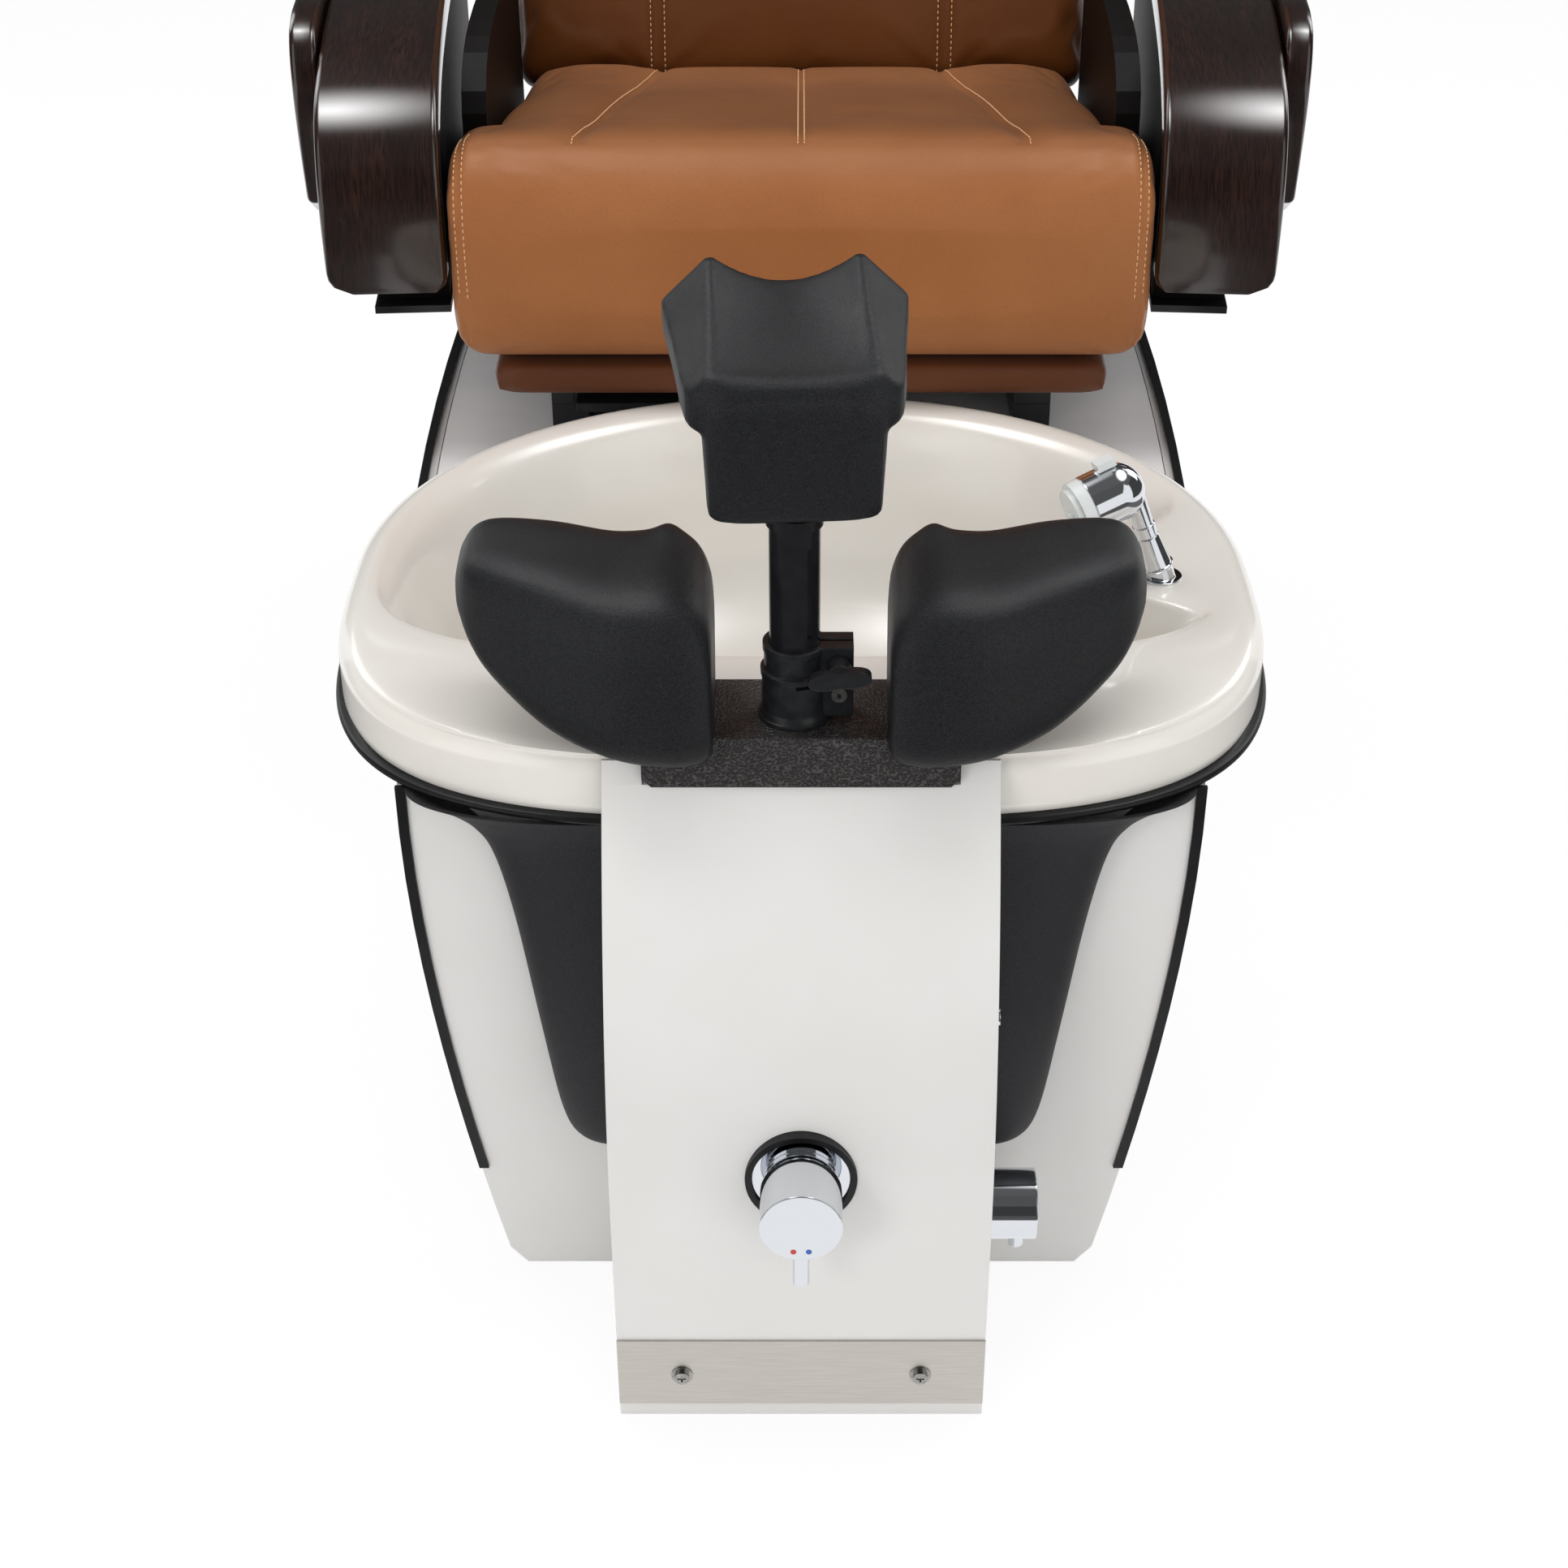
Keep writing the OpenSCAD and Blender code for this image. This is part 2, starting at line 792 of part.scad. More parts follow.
module at_diverter() {
    translate([column_x, diverter_y, diverter_z]) children();
}

module diverter_valve() {
    color(chrome)
        at_diverter() difference() {
            union() {
                rod_x(valve_r, -wall_t - 32, 1);
                rod_x(valve_r + 6, touch, 4);
            }
            rod_x(spindle_r + run_gap, -20, 6);
        }
}

module diverter_handle() {
    color(chrome)
        at_diverter() {
            rod_x(diverter_r, 5, diverter_out);
            rod_x(spindle_r, -18, 6);
            translate([diverter_out - 12, 0, -diverter_r - 12]) cylinder(r = lever_r, h = 16);
        }
}

switch_r = 10;
plunger_r = 7;
press = 3;

module at_button() {
    translate([column_x, button_y, button_z]) children();
}

module air_switch() {
    color(chrome)
        at_button() difference() {
            union() {
                rod_x(switch_r, -wall_t - 24, 1);
                rod_x(button_r, touch, 3);
            }
            rod_x(plunger_r + run_gap, -wall_t - 12, 4);
        }
}

module air_button() {
    color(chrome)
        at_button() rod_x(plunger_r, -wall_t - 6, 3 + press);
}

// ---- Drain, jet and pipes ----

strainer_t = 4;
plug_r = 9;
jet_r = 34;
jet_z = bowl_z + 88;
impeller_r = 24;
shaft_r = 4;
jet_face_y = rim_mid - bowl_fore + 30;
pump_y = jet_face_y - 24;

module drain_strainer() {
    color(chrome)
        translate([0, rim_mid, bowl_z]) difference() {
            union() {
                translate([0, 0, touch / 2]) cylinder(r = drain_r + 9, h = strainer_t);
                translate([0, 0, -26]) cylinder(r = drain_r - touch, h = 26 + eps + touch);
            }
            translate([0, 0, -27]) cylinder(r = drain_r - 4, h = 26);
            translate([0, 0, -2]) cylinder(r = plug_r + run_gap, h = 10);
            for (i = [0 : 7])
                rotate(45 * i) translate([drain_r - 9, 0, -2]) cylinder(r = 2.5, h = 10);
        }
}

// Pop-up plug: its stem slides in the strainer's middle
module drain_plug() {
    color(chrome)
        translate([0, rim_mid, bowl_z]) {
            translate([0, 0, strainer_t + 0.5]) cylinder(r = drain_r - 2, h = 4);
            translate([0, 0, -10]) cylinder(r = plug_r, h = 15);
        }
}

module drain_pipe() {
    top = bowl_z - 26 - touch;
    color("dimgray")
        translate([0, rim_mid, 0]) {
            translate([0, 0, drain_pipe_z]) cylinder(r = drain_pipe_r, h = top - drain_pipe_z);
            translate([0, 0, top - 14]) difference() {
                cylinder(r = drain_r + 5, h = 14);
                translate([0, 0, 10]) cylinder(r = drain_pipe_r - 4, h = 5);
            }
            translate([0, 0, drain_pipe_z]) sphere(r = drain_pipe_r);
            translate([0, 0, drain_pipe_z]) difference() {
                union() {
                    rod_y(drain_pipe_r, 0, rear_reach + 2 - rim_mid);
                    rod_y(drain_pipe_r + 6, rear_reach + touch - rim_mid, rear_reach + 6 - rim_mid);
                    rod_y(spigot_r, rear_reach + 5 - rim_mid, rear_reach + 6 + spigot_l - rim_mid);
                }
                rod_y(spigot_r - 3, rear_reach - 40 - rim_mid, rear_reach + 60 - rim_mid);
            }
        }
}

module at_jet() {
    translate([0, pump_y, jet_z]) children();
}

module jet_motor() {
    color(soft_black)
        at_jet() difference() {
            rod_y(jet_r - touch, -58, 0);
            rod_y(shaft_r + run_gap, -30, 1);
        }
}

module jet_impeller() {
    color("gray")
        at_jet() {
            rod_y(shaft_r, -28, 12);
            rod_y(10, 1, 12);
            for (i = [0 : 5])
                rotate([0, 60 * i, 0])
                    block([6, 2, -1], [impeller_r, 11, 1]);
        }
}

module jet_cover() {
    color("whitesmoke")
        at_jet() difference() {
            union() {
                rod_y(jet_r - touch, 0, 24);
                rod_y(jet_r + 8, 24 - eps, 28);
            }
            rod_y(jet_r - 5, -1, 23);
            for (i = [0 : 7])
                rotate([0, 45 * i, 0])
                    translate([jet_r - 14, 0, 0]) rod_y(5, 20, 30);
            rod_y(6, 20, 30);
        }
}

// Hot and cold pipes from the rear to the mixer
module water_pipes() {
    y_front = mixer_y + 40;
    side_port = 42;
    color("peru")
        for (s = [-1, 1]) {
            translate([s * water_pipe_x, y_front, water_pipe_z])
                cylinder(r = water_pipe_r, h = mixer_z - water_pipe_z);
            translate([s * water_pipe_x, y_front, water_pipe_z]) sphere(r = water_pipe_r);
            translate([s * water_pipe_x, y_front, mixer_z]) sphere(r = water_pipe_r);
            translate([0, y_front, mixer_z])
                rod_x(water_pipe_r - 2, s > 0 ? side_port + touch : -water_pipe_x,
                    s > 0 ? water_pipe_x : -side_port - touch);
            translate([s * water_pipe_x, 0, water_pipe_z]) difference() {
                union() {
                    rod_y(water_pipe_r, y_front, rear_reach + 2);
                    rod_y(inlet_r + 4, rear_reach + touch, rear_reach + 5);
                    rod_y(inlet_r, rear_reach + 4, rear_reach + 5 + inlet_l);
                }
                rod_y(inlet_r - 3, rear_reach - 30, rear_reach + 40);
            }
        }
}

// ---- Spray: its stem leans over the bowl ----

bush_r = 11;
bush_foot_r = 15;
bush_foot_z = shelf_z + 1.5;
spray_tube_r = 9.3;
spray_collar_z = 11.5;
spray_collar_h = 26;
spray_collar_r = 11.5;
head_offset = 13;
barrel_l = 22;

module at_spray() {
    translate([spray_x, spray_y, shelf_z]) rotate([0, -spray_lean, 0]) children();
}

module at_spray_head() {
    at_spray() translate([0, 0, spray_h]) rotate(spray_turn) children();
}

// Leaning bush through the shelf, with a level foot on it
module spray_bush() {
    color(chrome)
        difference() {
            union() {
                at_spray() translate([0, 0, -30]) cylinder(r = bush_r, h = 30 + spray_collar_z - touch);
                translate([spray_x, spray_y, bush_foot_z]) cylinder(r = bush_foot_r, h = 2);
            }
            at_spray() translate([0, 0, -31]) cylinder(r = stem_r + 1, h = 50);
            at_spray() translate([0, 0, -9]) cylinder(r = spray_tube_r + run_gap, h = 30);
        }
}

// Turning cone that guides the spray's stem
module spray_collar() {
    color(chrome)
        at_spray() difference() {
            union() {
                translate([0, 0, spray_collar_z])
                    cylinder(r1 = spray_collar_r, r2 = stem_r + 1, h = spray_collar_h);
                translate([0, 0, spray_collar_z]) cylinder(r = spray_collar_r + 1, h = 1.5);
                translate([0, 0, -8]) cylinder(r = spray_tube_r, h = 8 + spray_collar_z + 1);
            }
            translate([0, 0, -9]) cylinder(r = stem_r + run_gap, h = spray_collar_z + spray_collar_h + 10);
        }
}

module spray_head() {
    ring_z = spray_collar_z + spray_collar_h + touch;
    color(chrome) {
        at_spray() {
            translate([0, 0, -20]) cylinder(r = stem_r, h = spray_h + 10);
            translate([0, 0, ring_z]) cylinder(r = stem_r + 0.8, h = 9);
        }
        at_spray_head() {
            translate([-head_offset, 0, 0]) sphere(r = spray_r);
            translate([-head_offset, 0, 0]) rod_x(spray_r, -barrel_l, 0);
        }
    }
}

module spray_face() {
    color("white")
        at_spray_head() {
            translate([-head_offset - barrel_l, 0, 0]) {
                rod_x(spray_r - 0.5, -9, -eps);
                rod_x(spray_r - 4, -13, -8);
                translate([0, 0, -6]) rod_x(7, -16, -12);
            }
            block([-21, -6, spray_r + 0.2], [-7, 6, spray_r + 6]);
        }
}

// ---- Footrest ----

post_y = -front_reach + post_back;
plate_y0 = -front_reach - 12;
plate_y1 = plate_y0 + plate_l;
plate_top = rim_top + plate_h;
plate_low = rim_top + touch;
lip_z = rim_top - 14;
bolt_r = 4;
plate_bolt_x = 80;
plate_bolt_y = -front_reach + 30;
collar_r = post_r + collar_t;
collar_z = plate_top + touch / 2;
ear_x = 37;
ear_slot = 3;

module footrest_plate() {
    color(soft_black)
        difference() {
            union() {
                block([-plate_w / 2, -front_reach + 2, plate_low], [plate_w / 2, plate_y1, plate_top]);
                block([-plate_w / 2, plate_y0, plate_top - plate_t], [plate_w / 2, -front_reach + 3, plate_top]);
                along_y(
                    [
                        [-plate_w / 2, plate_top - 1], [-plate_w / 2, lip_z + 6],
                        [-plate_w / 2 + 6, lip_z], [plate_w / 2 - 6, lip_z],
                        [plate_w / 2, lip_z + 6], [plate_w / 2, plate_top - 1]
                    ],
                    plate_y0, plate_y0 + plate_t
                );
            }
            translate([post_x, post_y, rim_low]) cylinder(r = post_r + 1, h = 100);
            for (s = [-1, 1])
                translate([s * plate_bolt_x, plate_bolt_y, rim_low]) {
                    cylinder(r = bolt_r + touch, h = 100);
                    translate([0, 0, plate_top - rim_low - 5]) cylinder(r = 8, h = 20);
                }
        }
}

// Bolts that hold the plate down on the ledge, and the collar's clamp screw
module footrest_screws() {
    color(steel)
        for (s = [-1, 1])
            translate([s * plate_bolt_x, plate_bolt_y, 0]) {
                translate([0, 0, rim_top - 24]) cylinder(r = bolt_r, h = plate_h + 23);
                translate([0, 0, plate_top - 4.7]) cylinder(r = 7, h = 4.5);
                translate([0, 0, rim_top - 20]) cylinder(r = 9, h = 6, $fn = 6);
            }
    color(steel)
        translate([post_x + ear_x - 9, post_y, collar_z + screw_up]) {
            rod_y(2.6, -14, 14);
            difference() {
                rod_y(5, -18, -12);
                translate([0, -19, 0]) rotate([-90, 0, 0]) cylinder(r = 2.4, h = 4, $fn = 6);
            }
        }
}

// Split collar on the plate, with ears that the wing knob pulls together
module post_collar() {
    flange_r = collar_r + 4;
    barrel_z = 33;
    color(soft_black)
        translate([post_x, post_y, collar_z]) difference() {
            union() {
                cylinder(r = flange_r, h = 3);
                cylinder(r1 = flange_r, r2 = collar_r + 2, h = 7);
                cylinder(r = collar_r + 1.5, h = barrel_z);
                translate([0, 0, barrel_z - 2]) cylinder(r = collar_r + 2.3, h = 4);
                cylinder(r = collar_r, h = collar_h);
                translate([0, 0, collar_h - 5]) cylinder(r = collar_r + 0.8, h = 5);
                block([0, -11, 4], [ear_x, 11, collar_h]);
            }
            translate([0, 0, -1]) cylinder(r = post_r + run_gap, h = collar_h + 2);
            block([0, -ear_slot / 2, -1], [ear_x + 1, ear_slot / 2, collar_h + 1]);
            block([1, -collar_r - 4, barrel_z - 5], [collar_r + 1, 0, barrel_z - 2]);
            translate([ear_x - 9, 0, screw_up]) rod_y(2.6 + touch, -12, 12);
            translate([ear_x - 9, 0, knob_up]) rod_y(3 + run_gap, -12, 12);
        }
}

screw_up = 23;
knob_up = 40;

module wing_knob() {
    color(soft_black)
        translate([post_x + ear_x - 9, post_y, collar_z + knob_up]) {
            rod_y(3, -13, 14);
            rod_y(8, -25, -12);
            rotate([0, -6, 0])
                along_y(
                    [for (a = [0 : 15 : 345]) [20 * spow(cos(a), 1), (5 + 3 * abs(cos(a))) * sin(a)]],
                    -31, -23
                );
        }
}

module footrest_post() {
    color(soft_black)
        translate([post_x, post_y, 0]) difference() {
            translate([0, 0, collar_z + collar_h - post_down])
                cylinder(r = post_r, h = rim_top + pad_z - 8 - collar_z - collar_h + post_down);
            block([8, -post_r - 1, collar_z + collar_h + 8], [10.5, -post_r + 5, rim_top + pad_z - 20]);
        }
}

module pad_saddle() {
    color(soft_black)
        translate([post_x, post_y, rim_top + pad_z - 8]) {
            cylinder(r = post_r + 2, h = 7.5);
        }
}

// One cross-section of a cushion, across X and Z at the place y. The dip
// function lowers the top at x, for seams and channels.
top_steps = 22;

function corner(x, z, r, from) = [
    for (k = [1 : 2]) [x + r * cos(from + 30 * k), z + r * sin(from + 30 * k)]
];

function cushion_ring(y, half, low, high, radius, dip) =
    let (
        r = min(radius, (high - low) / 2 - 1),
        w = half - r,
        flat = concat(
            [
                for (j = [0 : top_steps])
                    let (x = w * (1 - 2 * j / top_steps))
                    [x, high - dip(x, y)]
            ],
            corner(-w, high - r, r, 90),
            [[-half, high - r], [-half, low + r]],
            corner(-w, low + r, r, 180),
            [[-w, low], [0, low], [w, low]],
            corner(w, low + r, r, 270),
            [[half, low + r], [half, high - r]],
            corner(w, high - r, r, 0)
        )
    )
    [for (p = reversed(flat)) [p[0], y, p[1]]];

no_dip = function (x, y) 0;

module cushion(rows, steps, radius, dip) {
    skin([
        for (row = smooth_rows(rows, steps))
            cushion_ring(row[0], row[1], row[2], row[3], radius, dip)
    ]);
}

// ---- Footrest pads ----

// One ring of the centre pad's slab: a valley between two crests, and a slope
// from each crest down to the outer edge
function slab_ring(row) =
    let (
        y = -front_reach - row[0],
        half = row[1],
        crest = row[2],
        low = row[3],
        edge = row[4],
        top = row[5],
        dip = row[6],
        right = [
            [half * 0.5, low], [half - 7, low], [half - 2, low + 3], [half, low + 9],
            [half, edge - 4], [half - 1.5, edge],
            [crest + 7, top - 6], [crest + 3, top - 2], [crest - 2, top - 0.3],
            each [for (k = [3 : -1 : 1]) [crest * k / 3.8, top - dip * (1 - pow(k / 3.7, 2))]]
        ]
    )
    [
        [0, y, low],
        for (p = right) [p[0], y, p[1]],
        [0, y, top - dip],
        for (p = reversed(right)) [-p[0], y, p[1]]
    ];

// Rounded pad: the leg stands on the saddle, the slab slopes up to the rear
module centre_pad() {
    low = rim_top + pad_z;
    // Rows are reach before the rim's front edge, half width, crest, underside,
    // outer edge, top and the valley's depth
    rows = [
        [-2, 48, 38, low + 63, low + 77, low + 83, 0],
        [-5, 54, 44, low + 60, low + 79, low + 87, 0.5],
        [-11, 63, 50, low + 57, low + 81, low + 92, 2.5],
        [-24, 67, 50, low + 58, low + 85, low + 97, 4.5],
        [-62, 71, 48, low + 68, low + 95, low + 114, 10],
        [-100, 76, 47, low + 80, low + 106, low + 131, 16],
        [-108, 74, 46, low + 84, low + 104, low + 129, 16]
    ];
    n = 28;
    // Rows are height over the underside, half width and half depth
    leg_rows = [
        [0, 50, 20], [3, 53, 23], [20, 54, 24.5], [50, 55.5, 25], [72, 56, 25], [78, 52, 22]
    ];
    leg = [
        for (row = leg_rows)
            [
                for (i = [0 : n - 1])
                    let (a = 360 * (i + 0.5) / n)
                    [
                        row[1] * spow(cos(a), 0.45),
                        -front_reach + 22 + row[2] * spow(sin(a), 0.45),
                        low + row[0]
                    ]
            ]
    ];
    color(soft_black)
        translate([post_x, post_y, 0]) rotate(pad_turn) translate([0, -post_y, 0]) {
            skin([for (row = smooth_rows(rows, 3)) slab_ring(row)]);
            skin(leg);
        }
}

// Rows are distance from the middle, front reach, rear reach, underside, top,
// reaches being measured before the rim's front edge
function side_pad_rows() = [
    [55, 22, -45, 500, 572],
    [58, 27, -66, 493, 586],
    [68, 31, -84, 490, 597],
    [86, 32, -89, 489, 602],
    [120, 26, -91, 492, 600],
    [160, 4, -101, 501, 602],
    [196, -22, -106, 524, 601],
    [212, -39, -105, 542, 595],
    [221, -58, -98, 560, 582]
];

module side_pad() {
    n = 24;
    rings = [
        for (row = smooth_rows(side_pad_rows(), 2))
            let (
                mid_y = -front_reach - (row[1] + row[2]) / 2,
                half_y = (row[1] - row[2]) / 2,
                mid_z = (row[3] + row[4]) / 2 + rim_top - 480,
                half_z = (row[4] - row[3]) / 2
            )
            [
                for (i = [0 : n - 1])
                    let (
                        a = 360 * i / n,
                        v = half_y * spow(cos(a), 0.5),
                        w = half_z * spow(sin(a), 0.5)
                    )
                    [row[0], mid_y + v + 0.18 * w, mid_z + w + 0.1 * v]
            ]
    ];
    color(soft_black)
        difference() {
            skin(rings);
            block(
                [0, plate_y0 - touch, rim_top - 60],
                [plate_w / 2 + touch, plate_y1 + touch, plate_top + touch]
            );
            block([0, -front_reach - touch, rim_low - 10], [rim_w, rim_mid, rim_top + touch]);
        }
}

module right_side_pad() {
    side_pad();
}

module left_side_pad() {
    mirror([1, 0, 0]) side_pad();
}

// ---- Seat ----

rail_low = deck_z - touch;
frame_low = rail_low + rail_h + touch;
frame_top = seat_z - under_t - 1;
seat_back_y = seat_l - seat_nose;
panel_in = seat_w / 2 - 21;
panel_y0 = 80;
panel_y1 = seat_back_y - 10;
arm_in = seat_w / 2 + arm_gap;
arm_out = arm_in + arm_w;
plate_z = arm_z - 22;
slide_room = 100;

// The seat's pieces are laid out from a point just behind the basin's rim
seat_y = rim_mid + rim_aft + 20;

module at_seat() {
    translate([0, seat_y, 0]) children();
}

// Each arm is turned about its inner front corner, so that it spreads outward
module at_arm() {
    translate([arm_in, -60, 0]) rotate(-arm_splay) translate([-arm_in, 60, 0]) children();
}

module slide_rails() {
    color("gray")
        at_seat() for (s = [-1, 1])
            block(
                [s * rail_pitch / 2 - 16, 20, rail_low],
                [s * rail_pitch / 2 + 16, hinge_y + slide_room, rail_low + rail_h]
            );
}

lever_y = 4;
lever_z = (frame_low + frame_top) / 2 + 2;
lever_x0 = -190;
lever_x1 = -105;
lever_rod_r = 4;

module seat_frame() {
    pan_y0 = -14;
    pan_y1 = hinge_y + 20;
    ear_t = 5;
    pan_half = panel_in - 23;
    color("dimgray")
        at_seat() difference() {
            union() {
                block([-pan_half, 20, frame_top - 8], [pan_half, pan_y1, frame_top]);
                block([-90, pan_y0, frame_top - 8], [240, 21, frame_top]);
                for (s = [-1, 1]) {
                    block(
                        [s * rail_pitch / 2 - 16, 20, frame_low],
                        [s * rail_pitch / 2 + 16, pan_y1, frame_top - 4]
                    );
                }
                for (x = [lever_x0 - ear_t - touch, lever_x1 + touch])
                    block([x, lever_y - 8, frame_low + 4], [x + ear_t, 30, frame_top]);
                for (m = [0, 1])
                    mirror([m, 0, 0]) {
                        block([pan_half - 2, panel_y0, frame_top - 8], [panel_in + 20, pan_y1, frame_top]);
                        block([panel_in + 2, panel_y0, frame_top - 8], [panel_in + 20, pan_y1, plate_z + 1]);
                        block([panel_in + 2, panel_y0, plate_z], [arm_in + 50, pan_y1, plate_z + arm_plate_t]);
                        at_arm()
                            block([arm_in, -38, plate_z], [arm_in + 62, pivot_y + 30, plate_z + arm_plate_t]);
                        translate([0, hinge_y, hinge_z]) rod_x(20, panel_in + 2, panel_in + 20);
                    }
            }
            translate([0, hinge_y, hinge_z]) rod_x(pin_r + run_gap, -arm_out, arm_out);
            translate([0, lever_y, lever_z]) rod_x(lever_rod_r + run_gap, lever_x0 - 20, lever_x1 + 20);
        }
}

// Paddle that frees the seat on its rails
module slide_lever() {
    color(soft_black)
        at_seat() translate([0, lever_y, lever_z]) {
            rod_x(lever_rod_r, lever_x0 - 6, lever_x1 + 6);
            block([lever_x0, -36, -4], [lever_x1, 3, 4]);
        }
}

module seat_underpad() {
    low = frame_top + soft_gap;
    high = seat_z - soft_gap;
    half = panel_in - 3;
    rows = [
        [-52, half - 24, low + 9, high - 3],
        [-46, half - 10, low + 3, high],
        [-20, half - 1, low, high],
        [200, half, low, high],
        [seat_back_y - 14, half - 2, low, high],
        [seat_back_y - 8, half - 10, low + 6, high - 4]
    ];
    color(leather)
        at_seat() cushion(rows, 1, 12, no_dip);
}

// Where the curved side seam lies at y, and its narrow groove
function seam_x(y) = 178 - 48 * pow(min(1, max(0, (y + 20) / 380)), 0.8);
seat_dip = function (x, y)
    4 * exp(-pow(x / 14, 2))
    + 3.5 * exp(-pow((abs(x) - seam_x(y)) / 13, 2))
    - (y > 20 ? 5 * cos(min(90, abs(x) / 3)) : 0);

module seat_cushion() {
    half = seat_w / 2;
    inner = panel_in - 2;
    nose = -seat_nose;
    // Rows are place along the chair, half width, underside and top
    rows = [
        [nose, half - 16, seat_z + 60, seat_top - 72],
        [nose + 3, half - 8, seat_z + 32, seat_top - 45],
        [nose + 16, half - 2, seat_z + 8, seat_top - 16],
        [nose + 40, half, seat_z + 1, seat_top - 1],
        [nose + 76, half, seat_z, seat_top - 1],
        [nose + 110, half - 2, seat_z, seat_top - 7],
        [nose + 136, inner + 3, seat_z, seat_top - 13],
        [nose + 154, inner, seat_z, seat_top - 12],
        [nose + 230, inner - 1, seat_z, seat_top - 21],
        [nose + 340, inner - 1, seat_z, seat_top - 40],
        [seat_back_y - 12, inner - 2, seat_z + 2, seat_top - 52],
        [seat_back_y, inner - 12, seat_z + 18, seat_top - 66]
    ];
    color(leather)
        at_seat() cushion(rows, 2, 27, seat_dip);
}

// Black panels between the seat cushion and the arms
module inner_side_panels() {
    z0 = plate_z + arm_plate_t + touch;
    top = seat_top + 42;
    outline = concat(
        [[panel_y0, z0], [panel_y1, z0], [panel_y1, top]],
        curve([panel_y1 - 80, top], [panel_y0 + 80, top], [panel_y0 + 10, top - 10], [panel_y0, top - 60], 8)
    );
    color(soft_black)
        at_seat() for (m = [0, 1])
            mirror([m, 0, 0])
                along_x(outline, panel_in + touch, panel_in + 21);
}

// ---- Back: built lying along Y, with its front face up, then raised ----

module at_back() {
    translate([0, seat_y + hinge_y, hinge_z]) rotate([90 - lean, 0, 0]) children();
}

back_w = seat_w - 2 * back_inset;
cushion_low = -38;
frame_z0 = cushion_low - 22;
back_y0 = 56;

module back_frame() {
    arm_x = panel_in - 24;
    color("dimgray")
        at_back() {
            block(
                [19 - arm_x, back_y0, frame_z0],
                [arm_x - 19, back_y0 + back_l - 60, cushion_low - soft_gap]
            );
            for (m = [0, 1])
                mirror([m, 0, 0]) {
                    block([arm_x - 24, 0, frame_z0], [arm_x - 4, back_y0 + 40, frame_z0 + 20]);
                    block([arm_x - 24, -14, frame_z0], [arm_x - 4, 14, 4]);
                    rod_x(14, arm_x - 24, panel_in + 2 - touch);
                    rod_x(pin_r, arm_x, panel_in + 20);
                }
        }
}

back_dip = function (x, y)
    4 * exp(-pow((abs(x) - 136) / 13, 2))
    + 6 * exp(-pow((y - back_y0 - 250) / 12, 2)) * (abs(x) < 136 ? 1 : 0);

module back_cushion() {
    half = back_w / 2;
    y1 = back_y0 + back_l;
    rows = [
        [back_y0, half - 16, -18, 38],
        [back_y0 + 9, half - 5, -33, 55],
        [back_y0 + 34, half - 1, cushion_low, 62],
        [back_y0 + 120, half, cushion_low, 66],
        [back_y0 + 250, half - 1, cushion_low, 62],
        [back_y0 + 420, half - 4, cushion_low, 56],
        [y1 - 180, half - 12, cushion_low, 58],
        [y1 - 40, half - 30, cushion_low + 1, 54],
        [y1 - 10, half - 46, cushion_low + 8, 44],
        [y1, half - 66, -16, 30]
    ];
    color(leather)
        at_back() cushion(rows, 2, 26, back_dip);
}

module back_shell() {
    half = back_w / 2 - 14;
    y1 = back_y0 + back_l;
    low = frame_z0 - 26;
    rows = [
        [back_y0 - 26, half - 50, low + 12, frame_z0 - soft_gap],
        [back_y0 - 16, half - 20, low + 4, frame_z0 - soft_gap],
        [back_y0 + 20, half, low, frame_z0 - soft_gap],
        [back_y0 + 400, half, low - 8, frame_z0 - soft_gap],
        [y1 - 60, half - 24, low, frame_z0 - soft_gap],
        [y1 - 24, half - 50, low + 8, frame_z0 - soft_gap]
    ];
    color(soft_black)
        at_back() cushion(rows, 1, 12, no_dip);
}

module headrest() {
    y1 = back_y0 + back_l;
    low = 58 + soft_gap;
    rows = [
        [y1 - 220, 110, low + 14, low + 26],
        [y1 - 212, 138, low + 5, low + 40],
        [y1 - 180, 150, low, low + 54],
        [y1 - 120, 152, low, low + 60],
        [y1 - 60, 146, low, low + 50],
        [y1 - 36, 134, low + 2, low + 34],
        [y1 - 30, 116, low + 10, low + 22]
    ];
    color(leather)
        at_back() cushion(rows, 1, 20, no_dip);
}

// ---- Arms ----

arm_turn_y = 0;
arm_turn_z = arm_z + 157;
ear_x1 = arm_in + 32;

// The bent band's outer surface, moved inward by a step
function arm_line(step) = concat(
    curve(
        [-52 + step, arm_z],
        [-66 + step, arm_z + 72],
        [-62 + step, arm_turn_z - 23 - step * 0.8],
        [arm_turn_y + step * 0.6, arm_turn_z - step],
        8
    ),
    curve(
        [arm_turn_y + step * 0.6 + 4, arm_turn_z - step + 1.4],
        [arm_turn_y + 70, arm_turn_z + 25 - step],
        [arm_turn_y + 200, pivot_z + 27 - step],
        [pivot_y - 12, pivot_z + 24 - step],
        10
    )
);

